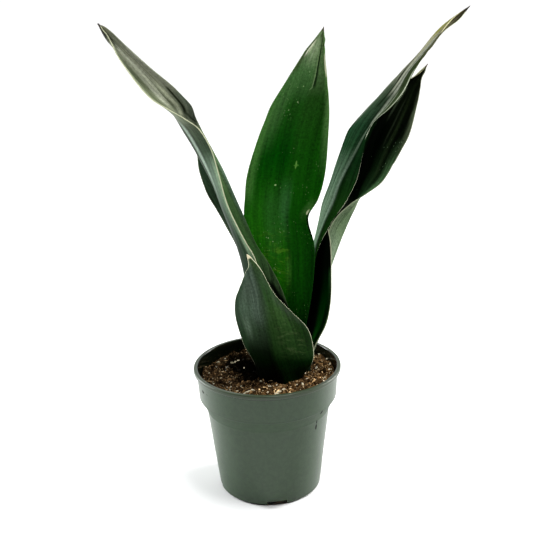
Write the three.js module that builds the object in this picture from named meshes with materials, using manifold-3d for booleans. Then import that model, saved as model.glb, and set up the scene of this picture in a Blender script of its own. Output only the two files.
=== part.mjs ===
// Potted black diamond snake plant: seven folded leaves on one rhizome, in a moulded nursery pot.
// Millimetres, +Z up. The origin is the middle of the flat underside of the pot.
// +X is to the right and +Y to the back of the plant, seen from its front.
import * as THREE from 'three';
import { mergeVertices } from 'three/addons/utils/BufferGeometryUtils.js';
import Module from 'manifold-3d';

const wasm = await Module();
wasm.setup();

// Pot
const rimRadius = 57;
const potHeight = 101.5;
const lipHeight = 2.8;
const lipOverhang = 2.2;
const collarFoot = 77.5;
const collarFootRadius = 53.4;
const shoulderFoot = 68;
const baseRadius = 40;
const neckRadius = 49.1;
const wall = 1.3;
const floorThickness = 1.5;
const floorChamfer = 2;
const baseChamfer = 1.2;
const lipChamfer = 0.7;
const lipUnderside = 0.4;
const collarLedge = 0.8;
const collarChamfer = 1.2;
const potSides = 56;
const wallTaper = (neckRadius - baseRadius) / collarFoot;
const shoulderRadius = baseRadius + wallTaper * shoulderFoot;
const collarTop = potHeight - lipHeight;
const collarTopRadius = rimRadius - lipOverhang;

// Drain slots cut through the corner between wall and floor
const slotCount = 4;
const slotWidth = 15;
const slotHeight = 3.8;
const slotReach = 7;
const slotTurn = 7;
const slotOvershoot = 4;

// Soil
const soilLevel = 92.6;
const soilTilt = 0.03;
const soilGap = 0.3;
const soilRings = 9;
const soilSectors = 40;
// How far the straight facets of the soil keep clear of those of the pot, down the wall and at the top
const facetSlack = 0.2;
const edgeSlack = 0.6;
const lumpHeight = 0.9;
// Lumps are sine waves: share of the height, turn per millimetre along X and along Y, phase
const lumpWaves = [
  [0.5, 0.31, 0.27, 0.3],
  [0.5, 0.31, -0.27, 1.1],
  [0.6, 0.12, -0.43, 1.9],
  [0.5, 0.55, 0.21, 1.6],
];
const moundHeight = 1.2;
const moundSpread = 30;

// Rhizome that the leaves grow from, deep in the soil
const rhizomeCentre = new THREE.Vector3(13, 2, 52);
const rhizomeRadii = new THREE.Vector3(23, 17, 9.6);
const rhizomeGap = 0.7;
const rhizomeSectors = 16;
const rhizomeRings = 8;

// Leaves
const stepsPerLeaf = 28;
const stepsPerHalf = 3;
const marginThickness = 0.9;
const cupping = 0.06;
// Where a blade is folded sharply or is narrow, its rib gets no thicker than these allow
const leastMitre = 0.28;
const ribDepthShare = 0.5;
const ribDepthExtra = 0.4;
const holeGap = 0.35;
const holeReach = 6;

const weldDistance = 1e-4;

// A leaf is a list of stations from its foot, deep in the soil, to its tip. A station holds three
// points: the left margin, the midrib and the right margin, seen from the upper face of the leaf.
// The midrib points lie on the outer, under side of the leaf, where its keel shows.
const leaves = {
  leaf_centre: {
    colour: 0x1f5a1c,
    ribThickness: [3.4, 1.6],
    stations: [
      [[3, 4, 64], [12, 7, 62], [21, 4, 64]],
      [[2, 2, 94], [12, 6, 92], [22, 2, 94]],
      [[0, 3, 138], [16, 8, 132], [31, 2, 132]],
      [[-7, 3, 167], [17, 9, 161], [36, 1, 162]],
      [[-12, 3, 196], [17, 9, 192], [38, 1, 195]],
      [[-14, 4, 220], [16, 10, 217], [34, 1, 218]],
      [[-13, 4, 233], [17, 10, 231], [41, 1, 231]],
      [[-11, 4, 249], [19, 11, 247], [46, 2, 248]],
      [[-2, 5, 277], [25, 12, 276], [49, 3, 278]],
      [[7, 7, 299], [32, 14, 297], [50, 5, 298]],
      [[19, 10, 316], [39, 16, 315], [49, 9, 316]],
      [[31, 15, 333], [43, 19, 331], [48, 14, 332]],
      [[41, 19, 345], [46, 21, 344], [48, 18, 343]],
    ],
    tip: [47.5, 22, 352.5],
  },
  leaf_left: {
    colour: 0x3c5048,
    ribThickness: [3.2, 1.5],
    stations: [
      [[6, -11, 64], [-2, -5, 62], [7, 0, 64]],
      [[7, -12, 93], [-2, -4, 92], [8, -1, 93]],
      [[2, -22, 137], [-10, -8, 135], [19, -5, 137]],
      [[-2, -27, 163], [-14, -9, 160], [14, -6, 161]],
      [[-6, -31, 194], [-17, -10, 186], [3, -6, 186]],
      [[-13, -30, 210], [-21, -11, 203], [-5, -4, 199]],
      [[-23, -31, 233], [-30, -12, 231], [-16, -2, 226]],
      [[-30, -33, 261], [-39, -12, 256], [-27, 3, 252]],
      [[-35, -33, 279], [-48, -12, 274], [-35, 5, 269]],
      [[-42, -34, 292], [-55, -12, 287], [-42, 3, 284]],
      [[-50, -35, 298], [-59, -12, 296], [-45, -1, 292]],
      [[-61, -34, 305], [-62, -13, 303], [-49, -8, 304]],
      [[-71, -32, 312], [-68, -14, 312], [-57, -17, 317]],
      [[-82, -31, 324], [-77, -14, 325], [-71, -24, 331]],
      [[-94, -27, 342], [-91, -15, 339], [-86, -26, 346]],
      [[-100, -22, 353], [-101, -16, 349], [-97, -21, 356]],
    ],
    tip: [-107, -17, 361.5],
  },
  leaf_front: {
    colour: 0x2f4038,
    ribThickness: [3.0, 1.3],
    stations: [
      [[25, -8, 64], [12, -17, 62], [0, -9, 64]],
      [[27, -9, 93], [12, -20, 92], [-7, -6, 93]],
      [[35, -9, 106], [7, -24, 109], [-10, -8, 108]],
      [[36, -8, 115], [4, -27, 123], [-16, -6, 119]],
      [[32, -10, 133], [1, -30, 142], [-21, -8, 135]],
      [[20, -14, 149], [-2, -32, 157], [-23, -12, 151]],
      [[8, -20, 165], [-3, -33, 169], [-22, -16, 162]],
      [[3, -26, 176], [-5, -34, 179], [-18, -22, 174]],
      [[-1, -31, 187], [-8, -35, 189], [-14, -29, 186]],
      [[-6, -35, 196], [-9, -36, 195], [-11, -36, 194]],
    ],
    tip: [-12, -38, 203],
  },
  leaf_right: {
    colour: 0x37504a,
    ribThickness: [2.6, 1.3],
    stations: [
      [[27, 10, 64], [23, 6, 62], [18, 10, 64]],
      [[27, 10, 93], [23, 5, 92], [18, 10, 93]],
      [[32, 12, 131], [29, 5, 130], [23, 12, 131]],
      [[37, 13, 161], [34, 4, 160], [29, 14, 161]],
      [[41, 13, 188], [39, 3, 194], [37, 14, 192]],
      [[51, 13, 209], [45, 2, 212], [41, 15, 209]],
      [[61, 16, 222], [52, 2, 228], [45, 18, 225]],
      [[70, 18, 238], [57, 1, 244], [51, 20, 240]],
      [[75, 19, 258], [66, 0, 262], [57, 21, 258]],
      [[78, 18, 273], [73, -1, 277], [63, 20, 274]],
      [[82, 17, 284], [79, -2, 287], [68, 18, 283]],
      [[94, 15, 293], [88, -3, 299], [77, 16, 294]],
      [[103, 10, 305], [96, -4, 310], [87, 13, 305]],
      [[110, 6, 321], [104, -5, 323], [99, 8, 319]],
      [[118, 1, 334], [114, -6, 335], [109, 2, 331]],
      [[127, -3, 347], [125, -8, 348], [122, -2, 347]],
      [[136, -7, 356], [134, -9, 358], [131, -6, 356]],
    ],
    tip: [144.5, -10, 366],
  },
  leaf_right_inner: {
    colour: 0x10180f,
    ribThickness: [2.6, 1.3],
    stations: [
      [[14, 13, 64], [22, 17, 62], [28, 11, 64]],
      [[14, 14, 93], [22, 18, 92], [29, 13, 93]],
      [[27, 27, 131], [37, 31, 130], [42, 22, 131]],
      [[42, 38, 171], [54, 40, 166], [47, 28, 177]],
      [[48, 41, 195], [62, 43, 186], [52, 30, 201]],
      [[53, 42, 212], [68, 44, 200], [58, 29, 211]],
      [[56, 41, 226], [74, 45, 215], [69, 27, 221]],
      [[60, 40, 242], [76, 46, 229], [80, 26, 228]],
      [[66, 39, 257], [82, 47, 245], [92, 27, 238]],
      [[74, 38, 274], [87, 48, 261], [101, 29, 255]],
      [[83, 38, 290], [95, 49, 278], [111, 32, 269]],
      [[95, 41, 303], [104, 50, 294], [116, 36, 284]],
      [[107, 45, 309], [113, 51, 306], [120, 41, 299]],
      [[118, 49, 313], [120, 52, 312], [123, 48, 311]],
    ],
    tip: [128, 54, 320.5],
  },
  leaf_right_low: {
    colour: 0x0c1a0e,
    ribThickness: [2.4, 1.3],
    stations: [
      [[29, 11, 64], [33, 4, 62], [30, -4, 64]],
      [[30, 12, 93], [34, 4, 92], [31, -5, 93]],
      [[29, 17, 112], [36, 12, 111], [37, -4, 115]],
      [[29, 20, 127], [40, 15, 126], [46, -1, 133]],
      [[31, 23, 147], [43, 19, 146], [50, 4, 153]],
      [[34, 25, 164], [45, 22, 163], [51, 8, 169]],
      [[38, 26, 180], [46, 24, 178], [51, 12, 182]],
      [[43, 25, 190], [47, 25, 190], [51, 16, 194]],
    ],
    tip: [49.5, 20, 204],
  },
  leaf_left_low: {
    colour: 0x2a4035,
    ribThickness: [2.4, 1.3],
    stations: [
      [[-6, 0, 64], [-3, 7, 62], [3, 10, 64]],
      [[-7, 1, 93], [-4, 8, 92], [3, 12, 93]],
      [[-9, 4, 150], [-3, 12, 150], [4, 13, 151]],
      [[-19, 4, 192], [-14, 13, 183], [-7, 10, 180]],
      [[-29, 4, 214], [-21, 15, 202], [-12, 9, 197]],
      [[-35, 5, 226], [-26, 16, 218], [-17, 9, 215]],
      [[-41, 6, 237], [-32, 17, 232], [-22, 9, 230]],
      [[-45, 8, 250], [-38, 17, 246], [-29, 10, 245]],
      [[-47, 10, 264], [-43, 16, 263], [-37, 11, 262]],
    ],
    tip: [-46, 14, 274],
  },
};

// Geometry from plain lists of points and triangles, turned so that its faces point out
function solidGeometry(points, triangles) {
  let volume = 0;
  for (const [a, b, c] of triangles) {
    volume += new THREE.Vector3().crossVectors(points[a], points[b]).dot(points[c]) / 6;
  }
  const index = volume < 0 ? triangles.flatMap(([a, b, c]) => [a, c, b]) : triangles.flat();
  const geometry = new THREE.BufferGeometry();
  const position = points.flatMap((p) => [p.x, p.y, p.z]);
  geometry.setAttribute('position', new THREE.Float32BufferAttribute(position, 3));
  geometry.setIndex(index);
  return geometry;
}

function toManifold(geometry) {
  const bare = geometry.clone();
  bare.deleteAttribute('normal');
  bare.deleteAttribute('uv');
  const merged = mergeVertices(bare, weldDistance);
  return new wasm.Manifold(new wasm.Mesh({
    numProp: 3,
    vertProperties: new Float32Array(merged.attributes.position.array),
    triVerts: new Uint32Array(merged.index.array),
  }));
}

function fromManifold(solid) {
  const mesh = solid.getMesh();
  const geometry = new THREE.BufferGeometry();
  geometry.setAttribute('position', new THREE.BufferAttribute(new Float32Array(mesh.vertProperties), 3));
  geometry.setIndex(new THREE.BufferAttribute(new Uint32Array(mesh.triVerts), 1));
  return geometry;
}

// The largest body of a cut solid, without loose scraps
function largestBody(solid) {
  return solid.decompose().sort((a, b) => b.volume() - a.volume())[0];
}

// One leaf as a closed folded blade. For the hole that its foot stands in, grow widens it all round
// and topLevel is the height at which it may end.
function leafGeometry(leaf, grow = 0, topLevel = Infinity) {
  const curves = [0, 1, 2].map((side) => {
    const points = leaf.stations.map((station) => new THREE.Vector3(...station[side]));
    points.push(new THREE.Vector3(...leaf.tip));
    return new THREE.CatmullRomCurve3(points, false, 'centripetal');
  });
  const outer = [];
  const inner = [];
  for (let step = 0; step < stepsPerLeaf; step++) {
    const t = step / stepsPerLeaf;
    const [left, rib, right] = curves.map((curve) => curve.getPoint(t));
    const along = curves[1].getTangent(t);
    const toLeft = left.clone().sub(rib);
    const toRight = right.clone().sub(rib);
    const leftWidth = toLeft.length();
    const rightWidth = toRight.length();
    toLeft.normalize();
    toRight.normalize();
    const leftFace = new THREE.Vector3().crossVectors(along, toLeft).normalize();
    const rightFace = new THREE.Vector3().crossVectors(toRight, along).normalize();
    const middle = leftFace.clone().add(rightFace).normalize();
    const mitre = Math.max(middle.dot(leftFace), leastMitre);
    const thick = THREE.MathUtils.lerp(...leaf.ribThickness, t);
    const deepest = ribDepthShare * Math.min(leftWidth, rightWidth) + ribDepthExtra;
    const depth = Math.min(thick / mitre, deepest);
    left.addScaledVector(toLeft, grow).addScaledVector(leftFace, -grow);
    right.addScaledVector(toRight, grow).addScaledVector(rightFace, -grow);
    rib.addScaledVector(middle, -grow / mitre);
    if (step === 0) [left, rib, right].forEach((point) => point.addScaledVector(along, -grow));
    const rim = marginThickness + 2 * grow;
    const innerRib = rib.clone().addScaledVector(middle, depth + 2 * grow / mitre);
    const innerLeft = left.clone().addScaledVector(leftFace, rim);
    const innerRight = right.clone().addScaledVector(rightFace, rim);
    const outerRow = [];
    const innerRow = [];
    for (let k = -stepsPerHalf; k <= stepsPerHalf; k++) {
      const out = Math.abs(k) / stepsPerHalf;
      const isLeft = k < 0;
      const face = isLeft ? leftFace : rightFace;
      const width = isLeft ? leftWidth : rightWidth;
      const bow = -cupping * width * 4 * out * (1 - out);
      const a = rib.clone().lerp(isLeft ? left : right, out).addScaledVector(face, bow);
      const b = innerRib.clone().lerp(isLeft ? innerLeft : innerRight, out).addScaledVector(face, bow);
      outerRow.push(a);
      innerRow.push(b);
    }
    outer.push(outerRow);
    inner.push(innerRow);
    if (rib.z > topLevel) return bladeSolid(outer, inner, null);
  }
  return bladeSolid(outer, inner, new THREE.Vector3(...leaf.tip));
}

// Joins two grids of points, cut alike into triangles, by their margins, foot and tip
function bladeSolid(outer, inner, tip) {
  const across = outer[0].length;
  const rings = outer.length;
  const points = [...outer.flat(), ...inner.flat()];
  const triangles = [];
  const under = (ring, k) => ring * across + k;
  const upper = (ring, k) => (rings + ring) * across + k;
  const quad = (a, b, c, d) => triangles.push([a, b, c], [a, c, d]);
  for (let ring = 0; ring < rings - 1; ring++) {
    for (let k = 0; k < across - 1; k++) {
      quad(under(ring, k), under(ring, k + 1), under(ring + 1, k + 1), under(ring + 1, k));
      triangles.push([upper(ring, k), upper(ring + 1, k + 1), upper(ring, k + 1)]);
      triangles.push([upper(ring, k), upper(ring + 1, k), upper(ring + 1, k + 1)]);
    }
    quad(upper(ring, 0), under(ring, 0), under(ring + 1, 0), upper(ring + 1, 0));
    const last = across - 1;
    quad(under(ring, last), upper(ring, last), upper(ring + 1, last), under(ring + 1, last));
  }
  for (let k = 0; k < across - 1; k++) {
    quad(under(0, k + 1), under(0, k), upper(0, k), upper(0, k + 1));
  }
  const top = rings - 1;
  if (tip) {
    const apex = points.push(tip) - 1;
    for (let k = 0; k < across - 1; k++) {
      triangles.push([under(top, k), under(top, k + 1), apex]);
      triangles.push([upper(top, k + 1), upper(top, k), apex]);
    }
    triangles.push([upper(top, 0), under(top, 0), apex]);
    triangles.push([under(top, across - 1), upper(top, across - 1), apex]);
  } else {
    for (let k = 0; k < across - 1; k++) {
      quad(under(top, k), under(top, k + 1), upper(top, k + 1), upper(top, k));
    }
  }
  return solidGeometry(points, triangles);
}

// Inner radius of the pot's wall at a height
function boreRadius(z) {
  if (z < shoulderFoot) return baseRadius + wallTaper * z - wall;
  if (z < collarFoot) {
    const rise = (z - shoulderFoot) / (collarFoot - shoulderFoot);
    return THREE.MathUtils.lerp(shoulderRadius, collarFootRadius - collarChamfer, rise) - wall;
  }
  const rise = (z - collarFoot) / (collarTop - collarFoot);
  return THREE.MathUtils.lerp(collarFootRadius - collarLedge, collarTopRadius, rise) - wall;
}

// Pot wall turned from its closed profile, then cut by the drain slots
function potGeometry() {
  const outside = [
    [baseRadius - baseChamfer, 0],
    [baseRadius, baseChamfer],
    [shoulderRadius, shoulderFoot],
    [collarFootRadius - collarChamfer, collarFoot - collarLedge],
    [collarFootRadius, collarFoot],
    [collarTopRadius, collarTop - lipChamfer],
    [rimRadius - lipUnderside, collarTop - lipUnderside],
    [rimRadius, collarTop + lipUnderside],
    [rimRadius, potHeight - lipChamfer],
    [rimRadius - lipChamfer, potHeight],
    [collarTopRadius - wall + lipUnderside, potHeight],
  ];
  const insideLevels = [collarTop, collarFoot, shoulderFoot, floorThickness + floorChamfer];
  const inside = insideLevels.map((z) => [boreRadius(z), z]);
  inside.push([boreRadius(0) - floorChamfer, floorThickness]);
  const profile = [[0, 0], ...outside, ...inside, [0, floorThickness]];
  const turned = new THREE.LatheGeometry(profile.map(([r, z]) => new THREE.Vector2(r, z)), potSides);
  turned.rotateX(Math.PI / 2);
  let pot = toManifold(turned);
  for (let k = 0; k < slotCount; k++) {
    const length = slotReach + slotOvershoot;
    const slot = new THREE.BoxGeometry(slotWidth, length, slotHeight + slotOvershoot);
    slot.translate(0, length / 2 - baseRadius - slotOvershoot, (slotHeight - slotOvershoot) / 2);
    slot.rotateZ(THREE.MathUtils.degToRad(slotTurn + (k * 360) / slotCount));
    pot = pot.subtract(toManifold(slot));
  }
  return fromManifold(pot);
}

// Height of the soil: a gentle slope to the right, lumps, and a low mound round the plant
function soilHeight(x, y) {
  let lumps = 0;
  for (const [share, turnX, turnY, phase] of lumpWaves) {
    lumps += share * Math.sin(x * turnX + y * turnY + phase);
  }
  const away = Math.hypot(x - rhizomeCentre.x, y - rhizomeCentre.y) / moundSpread;
  return soilLevel + soilTilt * x + lumpHeight * lumps + moundHeight * Math.exp(-away * away);
}

// Soil that fills the pot, with a hollow for the rhizome and plain holes for the feet of the leaves
function soilGeometry(rhizome) {
  const points = [];
  const triangles = [];
  const edge = boreRadius(soilLevel) - soilGap - edgeSlack;
  const at = (ring, sector) => 1 + (ring - 1) * soilSectors + (sector % soilSectors);
  points.push(new THREE.Vector3(0, 0, soilHeight(0, 0)));
  for (let ring = 1; ring <= soilRings; ring++) {
    const radius = (edge * ring) / soilRings;
    for (let sector = 0; sector < soilSectors; sector++) {
      const angle = (2 * Math.PI * (sector + (ring % 2) / 2)) / soilSectors;
      const x = radius * Math.cos(angle);
      const y = radius * Math.sin(angle);
      points.push(new THREE.Vector3(x, y, soilHeight(x, y)));
    }
  }
  const bottomLevel = floorThickness + soilGap;
  const levels = [collarFoot, shoulderFoot, floorThickness + 2 * floorChamfer, bottomLevel];
  levels.forEach((z, k) => {
    const chamfer = z === bottomLevel ? floorChamfer + facetSlack : 0;
    const radius = boreRadius(z) - soilGap - facetSlack - chamfer;
    for (let sector = 0; sector < soilSectors; sector++) {
      const angle = (2 * Math.PI * (sector + ((soilRings + k + 1) % 2) / 2)) / soilSectors;
      points.push(new THREE.Vector3(radius * Math.cos(angle), radius * Math.sin(angle), z));
    }
  });
  for (let sector = 0; sector < soilSectors; sector++) {
    triangles.push([0, at(1, sector), at(1, sector + 1)]);
  }
  const rows = soilRings + levels.length;
  for (let ring = 1; ring < rows; ring++) {
    const lean = ring % 2;
    for (let sector = 0; sector < soilSectors; sector++) {
      const a = at(ring, sector);
      const b = at(ring, sector + 1);
      const c = at(ring + 1, sector + lean);
      const d = at(ring + 1, sector + lean + 1);
      if (lean) {
        triangles.push([a, c, b], [b, c, d]);
      } else {
        triangles.push([a, c, d], [a, d, b]);
      }
    }
  }
  const bottom = points.push(new THREE.Vector3(0, 0, bottomLevel)) - 1;
  for (let sector = 0; sector < soilSectors; sector++) {
    triangles.push([bottom, at(rows, sector + 1), at(rows, sector)]);
  }
  let soil = toManifold(solidGeometry(points, triangles));
  const hollow = rhizome.clone();
  hollow.translate(...rhizomeCentre.clone().negate().toArray());
  hollow.scale(...rhizomeRadii.toArray().map((radius) => 1 + rhizomeGap / radius));
  hollow.translate(...rhizomeCentre.toArray());
  soil = soil.subtract(toManifold(hollow));
  for (const leaf of Object.values(leaves)) {
    soil = soil.subtract(toManifold(leafGeometry(leaf, holeGap, soilLevel + holeReach)));
  }
  return fromManifold(largestBody(soil));
}

function rhizomeGeometry() {
  const body = new THREE.SphereGeometry(1, rhizomeSectors, rhizomeRings);
  body.rotateX(Math.PI / 2);
  body.scale(...rhizomeRadii.toArray());
  body.translate(...rhizomeCentre.toArray());
  return fromManifold(toManifold(body));
}

const plant = new THREE.Group();

function addPiece(name, geometry, colour, roughness) {
  const material = new THREE.MeshStandardMaterial({ color: colour, roughness, metalness: 0 });
  const mesh = new THREE.Mesh(geometry, material);
  mesh.name = name;
  plant.add(mesh);
}

const rhizome = rhizomeGeometry();
addPiece('pot', potGeometry(), 0x56705a, 0.45);
addPiece('soil', soilGeometry(rhizome), 0x4a382a, 0.95);
addPiece('rhizome', rhizome, 0xb58a4a, 0.7);
for (const [name, leaf] of Object.entries(leaves)) {
  addPiece(name, leafGeometry(leaf), leaf.colour, 0.4);
}

export default plant;
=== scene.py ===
# Potted black diamond snake plant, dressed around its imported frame.
# Metres, +Z up; the camera stands on the -Y side, and +X is to its right.
import math

import bmesh
import bpy
import numpy as np
from mathutils import Matrix, Vector, noise


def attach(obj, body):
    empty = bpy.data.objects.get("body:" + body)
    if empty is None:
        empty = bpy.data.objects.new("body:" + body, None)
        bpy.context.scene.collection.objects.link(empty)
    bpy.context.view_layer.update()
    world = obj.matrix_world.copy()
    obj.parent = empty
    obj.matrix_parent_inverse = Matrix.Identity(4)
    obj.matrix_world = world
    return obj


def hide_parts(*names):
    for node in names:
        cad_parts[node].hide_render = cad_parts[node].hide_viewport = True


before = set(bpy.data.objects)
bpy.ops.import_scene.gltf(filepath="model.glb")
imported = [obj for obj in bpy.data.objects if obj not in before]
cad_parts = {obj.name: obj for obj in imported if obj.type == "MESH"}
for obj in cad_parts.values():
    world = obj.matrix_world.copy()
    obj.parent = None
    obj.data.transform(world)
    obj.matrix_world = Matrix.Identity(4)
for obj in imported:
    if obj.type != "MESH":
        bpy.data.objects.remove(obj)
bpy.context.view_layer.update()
mm = 0.001
print("frame loaded with", len(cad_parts), "nodes")


# Small helpers

def paint(red, green, blue):
    # an sRGB colour from 0 to 255, as the linear colour that a shader takes
    def linear(value):
        value /= 255
        return value / 12.92 if value <= 0.04045 else ((value + 0.055) / 1.055) ** 2.4
    return (linear(red), linear(green), linear(blue), 1.0)


class Wiring:
    # adds nodes to one tree and joins their sockets
    def __init__(self, tree):
        self.tree = tree

    def feed(self, socket, value):
        if isinstance(value, bpy.types.NodeSocket):
            self.tree.links.new(value, socket)
        elif value is not None:
            socket.default_value = value

    def add(self, kind, feeds=None, **settings):
        node = self.tree.nodes.new(kind)
        for key, value in settings.items():
            setattr(node, key, value)
        for key, value in (feeds or {}).items():
            found = node.inputs[key] if isinstance(key, int) else next(
                s for s in node.inputs if s.name == key and s.enabled)
            self.feed(found, value)
        return node

    def calc(self, operation, *values):
        node = self.add("ShaderNodeMath", operation=operation)
        for socket, value in zip(node.inputs, values):
            self.feed(socket, value)
        return node.outputs[0]

    def times(self, first, *others):
        for other in others:
            first = self.calc("MULTIPLY", first, other)
        return first

    def spread(self, value, reach):
        # a value from 0 to 1, as a push to either side
        return self.calc("MULTIPLY", self.calc("SUBTRACT", value, 0.5), reach)

    def vector(self, operation, *values):
        node = self.add("ShaderNodeVectorMath", operation=operation)
        for socket, value in zip(node.inputs, values):
            self.feed(socket, value)
        return node.outputs["Value" if operation in ("LENGTH", "DISTANCE") else "Vector"]

    def scaled(self, vector, factor):
        node = self.add("ShaderNodeVectorMath", {0: vector, "Scale": factor}, operation="SCALE")
        return node.outputs[0]

    def remap(self, value, low, high, newLow=0.0, newHigh=1.0, soft=True):
        kind = "SMOOTHSTEP" if soft else "LINEAR"
        node = self.add("ShaderNodeMapRange", {0: value, 1: low, 2: high, 3: newLow, 4: newHigh},
                        interpolation_type=kind)
        return node.outputs[0]

    def between(self, value, low, high, fade):
        # 1 from low to high and 0 outside, with soft ends
        rise = self.remap(value, low - fade, low + fade)
        return self.calc("MULTIPLY", rise, self.remap(value, high + fade, high - fade))

    def around(self, value, centre, half, core, strength=1.0):
        # the strength beside a centre value, 0 beyond the half width
        offset = self.calc("ABSOLUTE", self.calc("SUBTRACT", value, centre))
        return self.remap(offset, half, core, 0.0, strength)

    def mix(self, share, first, second, kind="MIX"):
        node = self.add("ShaderNodeMix", {0: share, 6: first, 7: second}, data_type="RGBA", blend_type=kind)
        return node.outputs[2]

    def cover(self, base, colour, *masks):
        # lays a colour over the base where all the masks let it
        return self.mix(self.times(*masks), base, colour)

    def shade(self, base, factor):
        # multiplies a colour by one number
        return self.mix(1.0, base, self.join(factor, factor, factor), "MULTIPLY")

    def ramp(self, value, stops):
        node = self.add("ShaderNodeValToRGB", {0: value})
        elements = node.color_ramp.elements
        while len(elements) < len(stops):
            elements.new(0.5)
        for element, (position, colour) in zip(elements, stops):
            element.position = position
            element.color = colour
        return node.outputs["Color"]

    def cloud(self, vector, scale, detail, rough=0.5):
        node = self.add("ShaderNodeTexNoise", {
            "Vector": vector, "Scale": scale, "Detail": detail, "Roughness": rough})
        return node.outputs["Fac"]

    def split(self, vector):
        return self.add("ShaderNodeSeparateXYZ", {0: vector}).outputs

    def join(self, x, y, z):
        return self.add("ShaderNodeCombineXYZ", {0: x, 1: y, 2: z}).outputs[0]

    def objectPlace(self):
        return self.add("ShaderNodeTexCoord").outputs["Object"]


def newMaterial(name):
    material = bpy.data.materials.new(name)
    material.use_nodes = True
    material.node_tree.nodes.clear()
    wires = Wiring(material.node_tree)
    shader = wires.add("ShaderNodeBsdfPrincipled")
    wires.add("ShaderNodeOutputMaterial", {"Surface": shader.outputs[0]})
    return material, wires, shader


def dressShader(wires, shader, base, roughness, specular):
    wires.feed(shader.inputs["Base Color"], base)
    wires.feed(shader.inputs["Roughness"], roughness)
    shader.inputs["Specular IOR Level"].default_value = specular


def bumpShader(wires, shader, relief, strength, depth):
    bump = wires.add("ShaderNodeBump", {"Strength": strength, "Distance": depth, "Height": relief})
    wires.feed(shader.inputs["Normal"], bump.outputs[0])


def addObject(name, data, material=None):
    thing = bpy.data.objects.new(name, data)
    bpy.context.scene.collection.objects.link(thing)
    if material:
        data.materials.append(material)
    return thing


def closedMesh(name, points, faces, smooth=True):
    # a mesh in metres from points in millimetres, turned so that its faces point out
    points = np.asarray(points, float) * mm
    volume = 0.0
    for face in faces:
        corners = points[list(face)]
        for k in range(1, len(face) - 1):
            volume += np.dot(corners[0], np.cross(corners[k], corners[k + 1]))
    if volume < 0:
        faces = [tuple(reversed(face)) for face in faces]
    mesh = bpy.data.meshes.new(name)
    mesh.from_pydata(points.tolist(), [], [list(map(int, face)) for face in faces])
    mesh.polygons.foreach_set("use_smooth", [smooth] * len(mesh.polygons))
    mesh.update()
    return mesh


def ringSpot(sectors, ring, sector):
    # number of a point laid ring by ring after one pole; the first ring is 1
    return 1 + (ring - 1) * sectors + sector % sectors


def shellFaces(rings, sectors):
    # faces of a closed shape laid ring by ring between two poles
    def at(ring, sector):
        return ringSpot(sectors, ring, sector)
    last = 1 + rings * sectors
    faces = [(0, at(1, k + 1), at(1, k)) for k in range(sectors)]
    faces += [(last, at(rings, k), at(rings, k + 1)) for k in range(sectors)]
    for ring in range(1, rings):
        upper = ring + 1
        faces += [(at(ring, k), at(ring, k + 1), at(upper, k + 1), at(upper, k)) for k in range(sectors)]
    return faces


def bakeModifiers(piece):
    # the evaluated shape becomes the piece's own mesh
    graph = bpy.context.evaluated_depsgraph_get()
    mesh = bpy.data.meshes.new_from_object(piece.evaluated_get(graph), depsgraph=graph)
    mesh.name = piece.name
    piece.modifiers.clear()
    piece.data = mesh


def finishPiece(piece, slot, *nodes):
    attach(piece, "root")
    if nodes:
        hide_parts(*nodes)


# Camera, floor and light

view = {
    "lens": 63.2,
    "sensor": 36,
    "clip": (0.01, 100),
    "target": (0.0017, 0.0, 0.1808),
    "distance": 0.7,
    "elevation": 18.6,
    "roll": -1.64,
}


def makeCamera():
    data = bpy.data.cameras.new("camera")
    data.lens = view["lens"]
    data.sensor_width = view["sensor"]
    data.clip_start, data.clip_end = view["clip"]
    camera = addObject("camera", data)
    tilt = math.radians(view["elevation"])
    turn = math.radians(view["roll"])
    forward = Vector((0, math.cos(tilt), -math.sin(tilt)))
    level = Vector((1, 0, 0))
    upright = Vector((0, math.sin(tilt), math.cos(tilt)))
    right = level * math.cos(turn) + upright * math.sin(turn)
    up = upright * math.cos(turn) - level * math.sin(turn)
    place = Vector(view["target"]) - forward * view["distance"]
    camera.matrix_world = Matrix((right, up, -forward)).transposed().to_4x4()
    camera.matrix_world.translation = place
    bpy.context.scene.camera = camera


studio = {
    "floorHalf": 15.0,
    "floorColour": paint(250, 250, 250),
    "floorRoughness": 0.9,
    "floorSpecular": 0.1,
    # the sky brightens from the front to the back
    "skyFrom": -0.4,
    "skyTo": 0.6,
    "skyFront": 0.03,
    "skyBack": 1.1,
    "boxes": [
        # name, place, size in x and y, watts, colour
        ("rightBox", (1.2, 0.5, 0.5), (0.3, 1.0), 25.0, (1.0, 1.0, 0.98)),
        ("leftBox", (-1.2, 0.5, 0.5), (0.3, 1.0), 28.0, (0.97, 0.99, 1.0)),
    ],
    "boxAim": (0.0, 0.0, 0.17),
    "sunFrom": (0.28, -0.2, 1.2),
    "sunStrength": 2.0,
    "sunAngle": 20.0,
    # a narrow lamp from the front, on the pale face of the left leaf
    "spotFrom": (-0.16, -0.75, 0.3),
    "spotAim": (-0.085, -0.02, 0.325),
    "spotWatts": 11.0,
    "spotCone": 15.0,
    "spotSize": 0.08,
}


def makeFloor():
    half = studio["floorHalf"]
    corners = [(-half, -half, 0), (half, -half, 0), (half, half, 0), (-half, half, 0)]
    mesh = bpy.data.meshes.new("floor")
    mesh.from_pydata(corners, [], [(0, 1, 2, 3)])
    material, wires, shader = newMaterial("paleFloor")
    dressShader(wires, shader, studio["floorColour"], studio["floorRoughness"], studio["floorSpecular"])
    floor = addObject("floor", mesh, material)


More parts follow.
